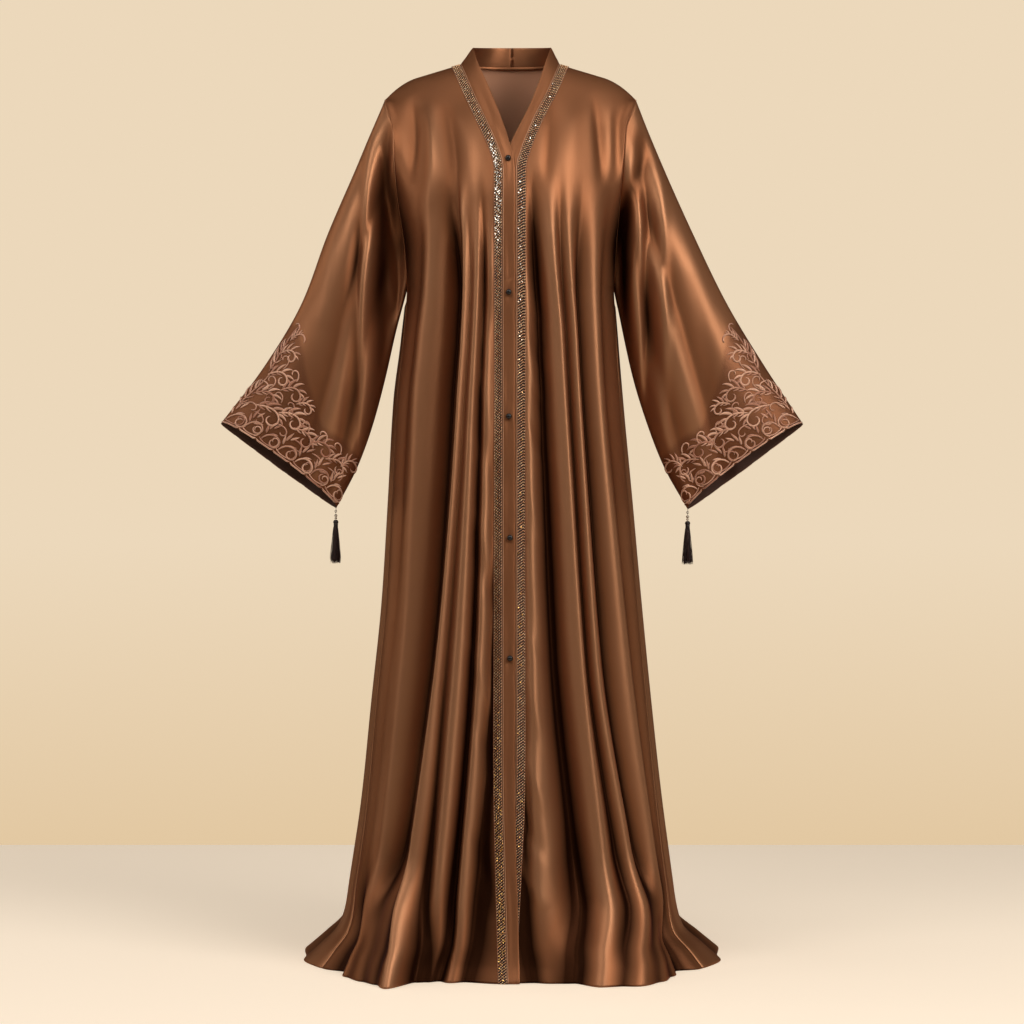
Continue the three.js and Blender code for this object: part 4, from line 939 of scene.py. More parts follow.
def band_grid(side, seed):
    """Rings of the band's flat tube, closed at both ends by a row that shrinks to its middle."""
    seam, edge, start, facing = (part[:, None] for part in BANDS[side])
    turn = np.linspace(0, 2 * np.pi, BAND_RING + 1)[None]
    across = (1 - np.cos(turn)) / 2 + 0 * seam[..., 0]
    drop = -seam[..., 2] + 0 * turn
    outer = band_height(across, drop, seed)
    inner = -BAND_HALF * np.clip(4 * across * (1 - across), 0, 1) ** BAND_ROUND
    height = np.where(np.sin(turn) >= 0, outer, inner)
    height[[0, -1]] = 0
    normal = unit(mix(start, facing, across[..., None]))
    sway = EDGE_SWAY["far"] * wander(drop, seed + 2, EDGE_SWAY["every"])[..., None]
    sway = sway * (across[..., None] > 0.5)
    flat = mix(seam, edge, across[..., None])
    return flat + normal * height[..., None] + sway * unit(edge - seam) * across[..., None] ** 3


band_pieces, band_flat, band_area = {}, {}, {}
for number, side in enumerate(SIGN):
    grid = band_grid(side, 40 + 10 * number)
    middle = grid[:, :-1].mean(axis=1, keepdims=True)
    across, down = grid_lengths(grid)
    name = "cloth_band_" + side
    band_pieces[side] = weld(put_grid(name, grid, grid - middle, uv=stack(across, down),
                                      tone=0 * across.ravel()))
    seam, edge = BANDS[side][:2]
    width = np.linalg.norm(edge - seam, axis=1)
    band_flat[side] = (float(width.max()) * MM, float(down[:, BAND_RING // 2].max()) * MM)
    band_area[side] = quad_area(np.stack([seam, edge], axis=1))
    print(name, "flat", np.round(band_flat[side], 3), "widths", width[[0, 26, 60, -1]].round(1))

# %% [markdown]
# ## Swept lines, copies and piping
# Much of the trimming is a thin round thing that follows a line: piping in the seam, the two ropes
# at the sides of the braid, a hanger thread, an embroidered stem. A Blender curve with a bevel
# could make each one, but here one helper sweeps a small oval section along any line of points and
# closes its ends. Another puts many copies of a small shape into one mesh, because hundreds of
# separate beads would be slow to draw and tedious to edit.

# %% Sweeps and copies
def path_sides(path, up):
    """Directions along, to the side of and above a line of points that lies on a surface."""
    along = unit(np.gradient(path, axis=-2))
    side = unit(np.cross(along, up))
    return along, side, unit(np.cross(side, along))


def sweep(path, up, wide, high, ring=8):
    """Rings of an oval section along a line: half width wide and half height high, which may vary
    along it. The first and the last ring shrink to a point, so the ends are closed."""
    _, side, above = path_sides(path, up)
    turn = 2 * np.pi * np.arange(ring) / ring
    wide, high = (np.broadcast_to(size, path.shape[:-1]).copy() for size in (wide, high))
    wide[..., [0, -1]] = 1e-4
    high[..., [0, -1]] = 1e-4
    return (path[..., None, :]
            + side[..., None, :] * (wide[..., None] * np.cos(turn))[..., None]
            + above[..., None, :] * (high[..., None] * np.sin(turn))[..., None])


def swept_mesh(name, paths, ups, wide, high, ring=8, tone=None):
    """One mesh of many swept lines with the same number of points."""
    rings = sweep(paths, ups, wide, high, ring)
    lines, points = rings.shape[:2]
    single = grid_faces(points, ring, closed=True)
    faces = (single[None] + (np.arange(lines) * points * ring)[:, None, None]).reshape(-1, 4)
    centre = np.repeat(paths[..., None, :], ring, axis=-2)
    corners = rings.reshape(-1, 3)
    outward = corners - centre.reshape(-1, 3)
    turned = wound_out(corners, faces, outward)
    length = np.cumsum(np.linalg.norm(np.diff(paths, axis=1), axis=-1), axis=1)
    along = np.pad(length, ((0, 0), (1, 0)))[..., None] + 0 * rings[..., 0]
    around = np.arange(ring) / ring + 0 * along
    flat = stack(around, along).reshape(-1, 2)[turned.ravel()]
    shade = None if tone is None else np.repeat(np.ravel(tone), points * ring)
    return put_mesh(name, corners, turned, flat, shade)


def resampled(path, count):
    """The same line with evenly spaced points."""
    length = np.pad(np.cumsum(np.linalg.norm(np.diff(path, axis=0), axis=1)), (1, 0))
    at = np.linspace(0, length[-1], count)
    return np.stack([np.interp(at, length, path[:, axis]) for axis in range(3)], axis=1)


def line_length(path):
    """Length of a line of points."""
    return float(np.linalg.norm(np.diff(path, axis=0), axis=1).sum())


def copies(name, shape, faces, origins, axes, sizes, tone, smooth=True):
    """One mesh of many copies of a small shape. Each copy has an origin, three axes and a size."""
    scaled = shape[None] * np.reshape(sizes, (len(origins), -1, 1))
    corners = origins[:, None] + np.einsum("nij,nki->nkj", axes, scaled)
    count = shape.shape[0]
    every = (faces[None] + (np.arange(len(origins)) * count)[:, None, None])
    return put_mesh(name, corners.reshape(-1, 3), every.reshape(-1, faces.shape[1]),
                    tone=np.repeat(tone, count), smooth=smooth)


def bead_shape(length, radius, around=5, stations=(-1, -0.8, 0, 0.8, 1)):
    """A grain along its first axis: rings on half an oval, with pointed ends."""
    at = np.array(stations)[:, None]
    turn = 2 * np.pi * np.arange(around)[None] / around
    thick = radius * np.sqrt(np.clip(1 - at ** 2, 0.02, 1))
    points = stack(length / 2 * at + 0 * turn, thick * np.cos(turn), thick * np.sin(turn))
    corners = points.reshape(-1, 3)
    faces = grid_faces(len(stations), around, closed=True)
    return corners, wound_out(corners, faces, corners)


# %% Lines on the fronts
def trim_line(side, offset, lift):
    """A line on a front at a distance from the band seam, raised above the cloth, and the normals
    under it. Offsets inside the braid's width follow its columns."""
    column = offset / TRIM_REACH * TRIM_COLUMNS
    low = int(np.clip(np.floor(column), 0, TRIM_COLUMNS - 1))
    part = column - low
    grid, normals = FRONTS[side], NORMALS[side]
    points = mix(grid[:, low], grid[:, low + 1], part)
    normal = unit(mix(normals[:, low], normals[:, low + 1], part))
    return points + normal * lift, normal


# %% Piping
PIPING = {"radius": 0.75, "points": 900, "lift": 0.5, "offset": -0.1}
trim_pieces = {}
for side in SIGN:
    path, normal = trim_line(side, PIPING["offset"], PIPING["lift"])
    trim_pieces["piping_" + side] = swept_mesh(
        "piping_" + side, resampled(path, PIPING["points"])[None],
        resampled(normal, PIPING["points"])[None], PIPING["radius"], PIPING["radius"])
    print("piping", side, round(line_length(path)), "mm")

# %% [markdown]
# ## Neck tape
# Inside the back of the neck a thin tape covers the seam of the collar. It could be cut as a sheet,
# but it shows as one slim line, so the same sweep makes it as a flat strip along the neck seam.

# %% Neck tape
TAPE = {"inset": 1.9, "high": 2.0, "thick": 0.2, "rise": 0.6, "start": 0.16, "points": 60}
turn = np.pi * np.linspace(TAPE["start"], 1 - TAPE["start"], TAPE["points"])
tape_x = np.where(np.cos(turn) < 0, NECK_HALF["right"], NECK_HALF["left"]) * np.cos(turn)
path = stack(tape_x, NECK_BACK * np.sin(turn) - TAPE["inset"],
             NECK_RISE + NECK_BACK_RISE * np.sin(turn) + TAPE["rise"])
inward = stack(-np.cos(turn), -np.sin(turn), 0 * turn)
neck_tape = swept_mesh("neck_tape", path[None], inward[None], TAPE["high"], TAPE["thick"])
print("neck tape", round(line_length(path)), "mm")

# %% [markdown]
# ## The beaded braid
# A narrow woven tape carries five columns of slim beads. All lean one way and each second column
# starts half a step later, so the braid reads as plaited. A thin rope runs along each edge. An array
# with a curve modifier could lay the beads, but it would bend each one. Here the pitch is set first,
# their number follows from the length of the edge, and each bead has a small turn of its own.

# %% Braid
BRAID = {"tape_lift": 0.35, "tape_thick": 0.3, "bead_pitch": 4.4, "bead_long": 3.0,
         "bead_thick": 0.85, "lift": 1.0, "lean": 0.8, "uneven": 0.12}
BEAD_COLUMNS = [(2.6, 0.0), (5.2, 0.5), (7.8, 0.0), (10.4, 0.5), (13.0, 0.0)]
ROPES = [(1.9, 0), (14.2, 1)]
ROPE = {"radius": 0.55, "pitch": 2.6, "points": 900, "ring": 6, "lift": 0.5}


def braid_tape(side):
    """The woven ground of the braid, a thin strip on the front."""
    low, normals = zip(*(trim_line(side, offset, BRAID["tape_lift"])
                         for offset in np.linspace(TRIM_INSET, TRIM_INSET + TRIM_WIDTH, 7)))
    grid = np.stack(low, axis=1)
    across, down = grid_lengths(grid)
    piece = put_grid("braid_tape_" + side, grid, np.stack(normals, axis=1),
                     uv=stack(across, down), tone=0 * across.ravel())
    wall = piece.modifiers.new("wall", "SOLIDIFY")
    wall.thickness, wall.offset = BRAID["tape_thick"] * MM, -1
    flat = (float(across[:, -1].max()) * MM, float(down[-1].max()) * MM)
    return piece, flat, quad_area(grid)


def bead_rows(side, seed):
    """Origins, axes, sizes and tones of all beads of one braid."""
    draw = np.random.default_rng(seed)
    parts = []
    for offset, shift in BEAD_COLUMNS:
        path, normal = trim_line(side, offset, BRAID["lift"])
        count = 2 * int(line_length(path) / BRAID["bead_pitch"])
        start = int(2 * shift)
        centre, up = resampled(path, count)[start::2], unit(resampled(normal, count))[start::2]
        along, across, above = path_sides(centre, up)
        count = len(centre)
        tilt = BRAID["lean"] + draw.normal(0, BRAID["uneven"], count)
        first = along * np.cos(tilt)[:, None] + across * np.sin(tilt)[:, None]
        second = np.cross(above, first)
        centre = centre + across * draw.normal(0, BRAID["uneven"], count)[:, None]
        parts.append((centre, np.stack([first, second, above], axis=1),
                      draw.uniform(0.88, 1.1, count), draw.uniform(0, 1, count)))
    return [np.concatenate(part) for part in zip(*parts)]


braid_sheets, bead_count = {}, 0
grain, grain_faces = bead_shape(BRAID["bead_long"], BRAID["bead_thick"])
for number, side in enumerate(SIGN):
    braid_sheets[side] = braid_tape(side)
    origins, axes, sizes, tone = bead_rows(side, 300 + number)
    bead_count += len(origins)
    trim_pieces["braid_beads_" + side] = copies("braid_beads_" + side, grain, grain_faces,
                                                origins, axes, sizes, tone)
    for offset, place in ROPES:
        path, normal = trim_line(side, offset, BRAID["tape_lift"] + ROPE["lift"])
        path, normal = resampled(path, ROPE["points"]), resampled(normal, ROPE["points"])
        name = f"braid_rope_{side}_{place}"
        trim_pieces[name] = swept_mesh(name, path[None], normal[None], ROPE["radius"],
                                       ROPE["radius"], ROPE["ring"])
print("beads on both braids:", bead_count)

# %% [markdown]
# ## Sequins
# Small bright discs are scattered along the braids. They lie close below the V on the one side and
# near the hem, and far apart elsewhere, so their number follows a short table of densities down
# the front. A particle system could scatter them, but a seeded draw gives the same places every
# time. Each one is tilted a little its own way, which makes them sparkle.

# %% Sequins
SEQUINS = {
    "right": table("drop per_metre", [
        [0, 20], [110, 40], [165, 900], [280, 760], [315, 20], [900, 20], [1080, 160],
        [1200, 420], [1380, 420], [1416, 150]]),
    "left": table("drop per_metre", [
        [0, 20], [172, 60], [240, 150], [420, 210], [520, 30], [700, 25], [870, 80],
        [1000, 90], [1060, 20], [1200, 60], [1416, 30]]),
}
SEQUIN = {"radius": 1.2, "thick": 0.16, "around": 8, "lift": 2.2, "tilt": 0.4}
SEQUIN_BAND = {"right": (3.0, 12.6), "left": (2.2, 9.5)}
GOLD_START, GOLD_RUN = 300, 300


def disc_shape(radius, thick, around):
    """A faceted disc across its first two axes, with its cup turned to the third."""
    turn = 2 * np.pi * np.arange(around) / around
    rings = [(0.02, -thick), (1, -thick), (1, thick), (0.55, 0.2 * thick), (0.02, 0.2 * thick)]
    corners = np.concatenate([stack(radius * share * np.cos(turn), radius * share * np.sin(turn),
                                    level + 0 * turn) for share, level in rings])
    return corners, grid_faces(len(rings), around, closed=True)[:, ::-1]


def sequin_places(side, seed):
    """Random places along a braid, as many as the table of densities asks for."""
    draw = np.random.default_rng(seed)
    path, _ = trim_line(side, SEQUIN_BAND[side][0], 0)
    drop = -path[:, 2]
    length = np.pad(np.cumsum(np.linalg.norm(np.diff(path, axis=0), axis=1)), (1, 0))
    total = np.concatenate([[0], np.cumsum(np.diff(length) * MM * read(
        SEQUINS[side], "per_metre", (drop[1:] + drop[:-1]) / 2))])
    count = int(total[-1])
    at = np.interp(np.arange(count) + draw.uniform(0.1, 0.9, count), total, length)
    offset = draw.uniform(*SEQUIN_BAND[side], count)
    row = np.interp(at, length, np.arange(len(length)))
    low = np.clip(row.astype(int), 0, len(length) - 2)
    part = (row - low)[:, None]
    column = offset / TRIM_REACH * TRIM_COLUMNS
    left = np.clip(column.astype(int), 0, TRIM_COLUMNS - 1)
    share = (column - left)[:, None]
    grid, normals = FRONTS[side], NORMALS[side]
    where = mix(mix(grid[low, left], grid[low, left + 1], share),
                mix(grid[low + 1, left], grid[low + 1, left + 1], share), part)
    up = unit(normals[low, left] + draw.normal(0, SEQUIN["tilt"], (count, 3)))
    first = unit(np.cross(up, [0.0, 0.0, 1.0]))
    axes = np.stack([first, np.cross(up, first), up], axis=1)
    return where + normals[low, left] * SEQUIN["lift"], axes, draw.uniform(0.75, 1.15, count)


disc, disc_faces = disc_shape(SEQUIN["radius"], SEQUIN["thick"], SEQUIN["around"])
for number, side in enumerate(SIGN):
    origins, axes, sizes = sequin_places(side, 500 + number)
    silver = 1 - ease((-origins[:, 2] - GOLD_START) / GOLD_RUN)
    trim_pieces["sequins_" + side] = copies("sequins_" + side, disc, disc_faces, origins, axes,
                                            sizes, silver, smooth=False)
    print("sequins", side, len(origins))

# %% [markdown]
# ## Buttons
# Five dark glossy balls close the band. Each sits in a small brown cup sewn to the cloth. A sphere
# from Blender's menu would do for the ball but not for the cup. Both are profiles turned about the
# line that points at the viewer, so one helper serves the buttons and, turned upright, the beads
# and heads of the tassels.

# %% Turned shapes
def turned(profile, around, axis="z"):
    """Corners and faces of a profile turned about an axis: radius, and height along the axis."""
    profile = np.array(profile, float)
    turn = 2 * np.pi * np.arange(around)[None] / around
    radius, height = profile[:, :1], profile[:, 1:] + 0 * turn
    first, second = radius * np.cos(turn), radius * np.sin(turn)
    points = stack(first, second, height) if axis == "z" else stack(first, -height, second)
    middle = points.reshape(-1, 3).mean(0)
    corners = points.reshape(-1, 3)
    faces = grid_faces(len(profile), around, closed=True)
    return corners, wound_out(corners, faces, corners - middle)


def joined(name, parts, tones=None):
    """One mesh of several shapes of (corners, faces), each with its own tone."""
    start, corners, faces, shade = 0, [], [], []
    for number, (points, sides) in enumerate(parts):
        corners.append(points)
        faces.append(sides + start)
        shade.append(np.full(len(points), 0.0 if tones is None else tones[number]))
        start += len(points)
    return weld(put_mesh(name, np.concatenate(corners), np.concatenate(faces),
                         tone=np.concatenate(shade)))


def half_wave(count):
    """Angles of a half turn, from pole to pole."""
    return np.linspace(0, np.pi, count)


# %% Buttons
BUTTON = {"radius": 4.6, "deep": 3.9, "around": 28, "down": 17}
CUP = [(1e-4, -3.9), (4.4, -3.9), (4.85, -3.3), (4.9, -2.5), (4.6, -2.0), (4.15, -1.9),
       (3.6, -2.6), (1e-4, -2.8)]
button_pieces = {}
for number in range(1, len(BUTTON_PLACES["drop"]) + 1):
    node_name = f"button_{number}"
    low, high = (np.array(corner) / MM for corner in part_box(node_name))
    centre = (low + high) / 2
    arc = half_wave(BUTTON["down"])
    ball = turned(np.stack([np.maximum(BUTTON["radius"] * np.sin(arc), 1e-4),
                            BUTTON["deep"] * np.cos(arc)], axis=1), BUTTON["around"], axis="y")
    cup = turned(CUP, BUTTON["around"], axis="y")
    button_pieces[node_name] = joined("ball_" + node_name, [
        (ball[0] + centre, ball[1]), (cup[0] + centre, cup[1])], tones=[0, 1])
    print(node_name, "at", centre.round(1))

# %% [markdown]
# ## Tassels
# A tassel hangs from the inner corner of each cuff: a thread and a small ring, two silver beads,
# a wound head with a tied neck, and a skirt of fine strands. Blender's hair could make the skirt,
# but strands that are real meshes can be counted and look the same in other programs. They start
# under the head, hang down with a slight wave of their own, and end at uneven heights.

# %% Tassels
TASSELS = {"right": (-282.0, -704.0), "left": (281.0, -706.0)}
TASSEL = {"strands": 190, "points": 12, "thick": 0.34, "root": 3.1, "end": 9.0, "top": -27.2,
          "low": -89.2, "uneven": 5.5}
HANGER = {"thick": 0.42, "ring": 1.7, "ring_thick": 0.38, "ring_drop": 5.2}
HANGER_LINE = [(0, 1.5), (0.3, -1), (0.5, -3.5), (0.2, -6), (0, -8), (0, -10.5)]
HEAD = [(1e-4, -18.8), (1.2, -18.8), (3.0, -19.6), (4.1, -21.4), (4.2, -23.4), (3.5, -24.8),
        (3.2, -25.2), (3.6, -25.6), (3.7, -26.6), (3.3, -27.2), (3.5, -28.2), (3.6, -30.0),
        (2.4, -31.0), (1e-4, -31.0)]
BEADS = [(-12.1, 2.5), (-16.3, 2.1)]


def ring_path(radius, points=25):
    """An upright circle as a closed line of points."""
    turn = np.linspace(0, 2 * np.pi, points)
    return stack(radius * np.cos(turn), 0 * turn, radius * np.sin(turn))


def swept_part(line, thick, around=6):
    """Corners and faces of one thin thread along a line that is seen from the front."""
    facing = np.tile([0.0, -1.0, 0.0], (len(line), 1))
    points = sweep(line, facing, thick, thick, around).reshape(-1, 3)
    faces = grid_faces(len(line), around, closed=True)
    return points, wound_out(points, faces, points - np.repeat(line, around, axis=0))


def tassel_strands(seed):
    """Lines of the strands below the head, each with its own wave, spread and length."""
    draw = np.random.default_rng(seed)
    count = TASSEL["strands"]
    share = np.linspace(0, 1, TASSEL["points"])[None]
    turn = draw.uniform(0, 2 * np.pi, (count, 1))
    ring = np.sqrt(draw.uniform(0.02, 1, (count, 1)))
    reach = ring * mix(TASSEL["root"], TASSEL["end"] * draw.uniform(0.75, 1.1, (count, 1)),
                       share ** 0.8)
    wave = draw.normal(0, 0.5, (count, 1)) * np.sin(
        share * draw.uniform(4, 9, (count, 1)) + draw.uniform(0, 6, (count, 1))) * share
    low = TASSEL["low"] + TASSEL["uneven"] * draw.uniform(0, 1, (count, 1)) ** 2
    return stack(reach * np.cos(turn) + wave, reach * np.sin(turn) - wave,
                 mix(TASSEL["top"], low, share))


tassel_pieces = {}
for number, (side, (x, z)) in enumerate(TASSELS.items()):
    corner = np.array([x, 0.0, z])
    thread = np.stack([corner + [dx, 0, dz] for dx, dz in HANGER_LINE])
    ring = ring_path(HANGER["ring"]) + corner + [0, 0, -HANGER["ring_drop"]]
    parts = [swept_part(thread, HANGER["thick"]), swept_part(ring, HANGER["ring_thick"])]
    tassel_pieces["hanger_" + side] = joined("thread_hanger_" + side, parts, tones=[0, 1])
    beads = []
    for height, radius in BEADS:
        arc = half_wave(13)
        shape = turned(np.stack([np.maximum(radius * np.sin(arc), 1e-4),
                                 -0.92 * radius * np.cos(arc)], axis=1), 20)
        beads.append((shape[0] + corner + [0, 0, height], shape[1]))
    tassel_pieces["bead_" + side] = joined("silver_beads_" + side, beads)
    head = turned(HEAD, 24)
    tassel_pieces["head_" + side] = joined("tassel_head_" + side, [(head[0] + corner, head[1])])
    strands = tassel_strands(700 + number) + corner
    ups = np.zeros_like(strands) + [0.0, -1.0, 0.05]
    tones = np.random.default_rng(720 + number).uniform(0, 1, len(strands))
    tassel_pieces["strands_" + side] = swept_mesh("tassel_strands_" + side, strands, ups,
                                                  TASSEL["thick"], TASSEL["thick"], 3, tones)
print("tassel strands:", 2 * TASSEL["strands"])

# %% [markdown]
# ## Embroidery
# The embroidery is drawn flat first, in millimetres along the cuff edge (p) and up from it (q), and
# then laid on the sleeve. Every stroke is an Euler spiral: its bend changes evenly along it, which
# is how a hand draws scrolls. A stem bends more and more into a curl; leaves are short strokes that
# swell in the middle. Leaves grow from the stems by rule, so a few rows of stems fill the cuff.

# %% Embroidery strokes
STROKE_POINTS, STROKE_RING = 26, 6
STROKE_COLUMNS = "p q heading length bend0 bend1 wide leaf"
CORD_WIDE, FINE_WIDE, LEAST_LEAF = 1.4, 1.0, 0.1
BORDER_PITCH, BORDER_START, BORDER_UNITS = 32.5, 4.0, 7
STEMS = table("p q heading length bend0 bend1 hand", [
    [6, 34, 88, 92, -0.5, 0.6, 1], [14, 110, 84, 92, 0.5, -0.9, 1],
    [12, 64, 44, 84, 0.9, -10.5, 1], [15, 106, 48, 80, 0.6, -10.6, 1],
    [14, 146, 56, 64, 0.2, -12.0, 1], [18, 172, 70, 42, 0.5, -9.0, 1],
    [26, 50, 20, 98, 0.9, -8.0, 1], [66, 60, 36, 88, 0.7, -9.0, 1],
    [48, 94, 54, 82, 0.5, -9.6, 1], [100, 54, 22, 82, 0.6, -9.2, 1],
    [84, 92, 48, 60, 0.6, -12.0, 1], [136, 48, 46, 84, 0.8, -9.6, 1],
    [172, 44, 38, 74, 0.8, -10.0, 1], [202, 52, 72, 58, 0.6, -11.0, 1]])
TENDRILS = table("p q heading length bend0 bend1", [
    [30, 84, 62, 46, -0.5, 13.0], [34, 128, 70, 40, -0.5, 14.0], [62, 78, 96, 36, 0.5, 15.0],
    [34, 40, 4, 44, 1.0, -14.0], [76, 44, 10, 42, 1.0, -14.0], [112, 38, 8, 40, 1.0, -15.0],
    [150, 38, 12, 40, 1.0, -15.0], [184, 36, 6, 38, 1.0, -15.0], [90, 62, 80, 36, 1.0, 13.0],
    [126, 62, 84, 34, 1.0, 14.0], [160, 66, 80, 36, 0.5, 13.0], [192, 70, 96, 32, 1.0, 14.0],
    [66, 124, 84, 34, 1.0, 14.0], [12, 92, 20, 32, -1.0, -14.0], [20, 186, 60, 26, 1.0, 15.0],
    [10, 40, 50, 40, 1.0, -13.0], [8, 132, 100, 30, -1.0, -15.0], [46, 62, 70, 36, 0.5, 13.0],
    [84, 72, 70, 34, 0.5, 14.0], [118, 60, 50, 34, 0.5, 14.0], [210, 30, 60, 34, 1.0, 14.0]])
SPROUTS = table("share tilt length bend wide other", [
    [0.11, 42, 21, 2.6, 2.0, 0.6], [0.22, 46, 25, 2.8, 2.3, 0.5], [0.33, 48, 23, 3.2, 2.2, 0.0],
    [0.44, 44, 18, 3.6, 1.9, 0.0], [0.54, 38, 13, 3.6, 1.6, 0.0]])


def draw_strokes(rows):
    """Places and headings of strokes. The heading turns by the bend at every millimetre, and the
    bend goes evenly from bend0 to bend1; the place follows the heading."""
    share = np.linspace(0, 1, STROKE_POINTS)[None]
    length, bend0, bend1 = (rows[name][:, None] for name in ("length", "bend0", "bend1"))
    turn = np.radians(rows["heading"][:, None]
                      + length * (bend0 * share + (bend1 - bend0) * share ** 2 / 2))
    step = stack(np.cos(turn), np.sin(turn))
    middle = (step[:, 1:] + step[:, :-1]) / 2 * length[..., None] / (STROKE_POINTS - 1)
    places = np.concatenate([np.zeros((len(length), 1, 2)), np.cumsum(middle, axis=1)], axis=1)
    return places + stack(rows["p"], rows["q"])[:, None], np.degrees(turn)


def sprout(stems, row):
    """Leaves on every stem at one share of its length: a long one on the outer side of its curl
    and, near its foot, a short one across."""
    places, headings = draw_strokes(stems)
    at = int(row["share"] * (STROKE_POINTS - 1))
    hand = stems["hand"]
    size = np.clip(stems["length"] / 80, 0.55, 1.15)
    leaves = []
    for way, part in ((1, 1.0), (-1, row["other"])):
        length = np.maximum(row["length"] * size * part, LEAST_LEAF)
        leaves.append({
            "p": places[:, at, 0], "q": places[:, at, 1],
            "heading": headings[:, at] + way * row["tilt"] * hand, "length": length,
            "bend0": -way * row["bend"] * hand / 2 + 0 * length,
            "bend1": -way * row["bend"] * hand + 0 * length,
            "wide": row["wide"] * size * part, "leaf": 1 + 0 * length})
    return leaves


def border_rows(seed):
    """The scalloped border. A unit has a scroll, a counter scroll, two lines of the scallop and
    four leaves, and no two units are quite alike."""
    draw = np.random.default_rng(seed)
    rows = []
    for unit_number in range(BORDER_UNITS):
        p = BORDER_START + BORDER_PITCH * unit_number
        scroll, leaf_one, leaf_two = draw.uniform(0.88, 1.12, 3)
        sway = draw.normal(0, 5, 4)
        rows += [[p, 6, 78 + sway[0], 78 * scroll, -1.2, -9.5, CORD_WIDE, 0],
                 [p + 21, 4, 38 + sway[1], 36, 1.5, 15.5, FINE_WIDE, 0],
                 [p - 6, 3.4, -34, 34, 2.0, 2.0, CORD_WIDE, 0],
                 [p - 4, 8.4, -34, 30, 2.2, 2.2, FINE_WIDE, 0],
                 [p + 8, 22, 20 + sway[2], 15 * leaf_one, 3.0, -4.0, 1.9, 1],
                 [p + 2, 20, 118 + sway[3], 17 * leaf_two, -3.0, 3.0, 2.1, 1],
                 [p + 3, 28, 96 + sway[0], 20 * leaf_one, -3.0, 2.0, 2.1, 1],
                 [p + 8, 33, 74 + sway[1], 17 * leaf_two, -3.0, 2.0, 1.9, 1]]
    return table(STROKE_COLUMNS, rows)


def gather(groups):
    """Rows of several tables as one table."""
    return {name: np.concatenate([group[name] for group in groups])
            for name in STROKE_COLUMNS.split()}


cords = [dict(stems, wide=wide + 0 * stems["p"], leaf=0 * stems["p"])
         for stems, wide in ((STEMS, CORD_WIDE), (TENDRILS, FINE_WIDE))]
leaves = [leaf for values in zip(*SPROUTS.values())
          for leaf in sprout(STEMS, dict(zip(SPROUTS, values)))]
leaves = [leaf for leaf in leaves if leaf["wide"].max() > LEAST_LEAF]
MOTIFS = gather([*cords, border_rows(31), *leaves])
print("embroidery strokes on a face:", len(MOTIFS["p"]))

# %% [markdown]
# ## Laying the embroidery on the sleeves
# Shrinkwrap could press a flat drawing onto the sleeve, but it would stretch the thread. The sleeve
# is a function of two numbers, so each point of a stroke is given its two numbers and lands on the
# cloth by itself. Both faces of the sleeve get the same design, front and back.

# %% Embroidery on the sleeves
STITCH = {"lift": 0.7, "high": 1.25, "thinnest": 0.02, "lowest": 0.05}
EDGE_MARGIN = 1.2
PROBE = 0.6


def on_sleeve(side, p, q, back):
    """A place on the sleeve: p along the cuff, q up from it, on the front or the back face."""
    across = np.clip(p, EDGE_MARGIN, CUFF_EDGE - EDGE_MARGIN) / CUFF_EDGE
    along = 1 - q / mix(SEAM_LENGTHS["outer"], SEAM_LENGTHS["inner"], across)
    angle = np.arccos(1 - 2 * across)
    angle = 2 * np.pi - angle if back else angle
    return sleeve_point(side, angle, np.minimum(along, 1.0))


def embroidery(side, back):
    """Lines, upward directions and sizes of all strokes on one face of a sleeve."""
    places, _ = draw_strokes(MOTIFS)
    p, q = places[..., 0], np.maximum(places[..., 1], 1.0)
    inside = (q[:, STROKE_POINTS // 2] < read(OUTLINE, "top", p[:, STROKE_POINTS // 2], "p"))
    p, q = p[inside], q[inside]
    points = on_sleeve(side, p, q, back)
    up = unit(np.cross(
        on_sleeve(side, p + PROBE, q, back) - on_sleeve(side, p - PROBE, q, back),
        on_sleeve(side, p, q + PROBE, back) - on_sleeve(side, p, q - PROBE, back)))
    up = up * (1 if np.sum(up[..., 1]) * (1 if back else -1) > 0 else -1)
    share = np.linspace(0, 1, STROKE_POINTS)[None]
    cord = np.clip(9 * share * (1 - share), 0, 1) ** 0.5
    leaf = np.sin(np.pi * share ** 0.75) ** 0.9
    form = np.where(MOTIFS["leaf"][inside, None] > 0, leaf, cord)
    wide = MOTIFS["wide"][inside, None] * form + STITCH["thinnest"]
    high = STITCH["high"] * np.clip(form, STITCH["lowest"], 1) ** 0.6
    return points + up * STITCH["lift"], up, wide, high


stitch_pieces = {}
for side in SIGN:
    faces = [embroidery(side, back) for back in (False, True)]
    points, up, wide, high = (np.concatenate(part) for part in zip(*faces))
    tone = np.tile(np.random.default_rng(60).uniform(0, 1, len(points) // 2), 2)
    stitch_pieces[side] = swept_mesh("embroidery_" + side, points, up, wide, high,
                                     STROKE_RING, tone)
    print("embroidery", side, len(points), "strokes")

# %% [markdown]
# ## Materials
# Satin is woven so that most of the thread on its face runs one way. It has a deep body colour and
# a wide, soft, coloured highlight. Here that is a darker base, a share of coloured reflection
# between metal and plastic, and a fine bump for the threads. The base colour also carries painted
# shade and painted highlight: it is painted darker in the valleys of the folds, in the hollow at the
# armhole and towards the hem, and lighter on the ridges. An image of satin would repeat and blur,
# so the patterns are made from noise. Every shader is built from the same few calls: `noise` and
# `ramp` make a pattern, and `bump` turns one into relief.

# %% Shader helpers
def new_material(name):
    """A node material with its tree cleared down to a Principled shader and an output."""
    made = bpy.data.materials.new(name)
    made.use_nodes = True
    tree = made.node_tree
    return made, tree, tree.nodes["Principled BSDF"]


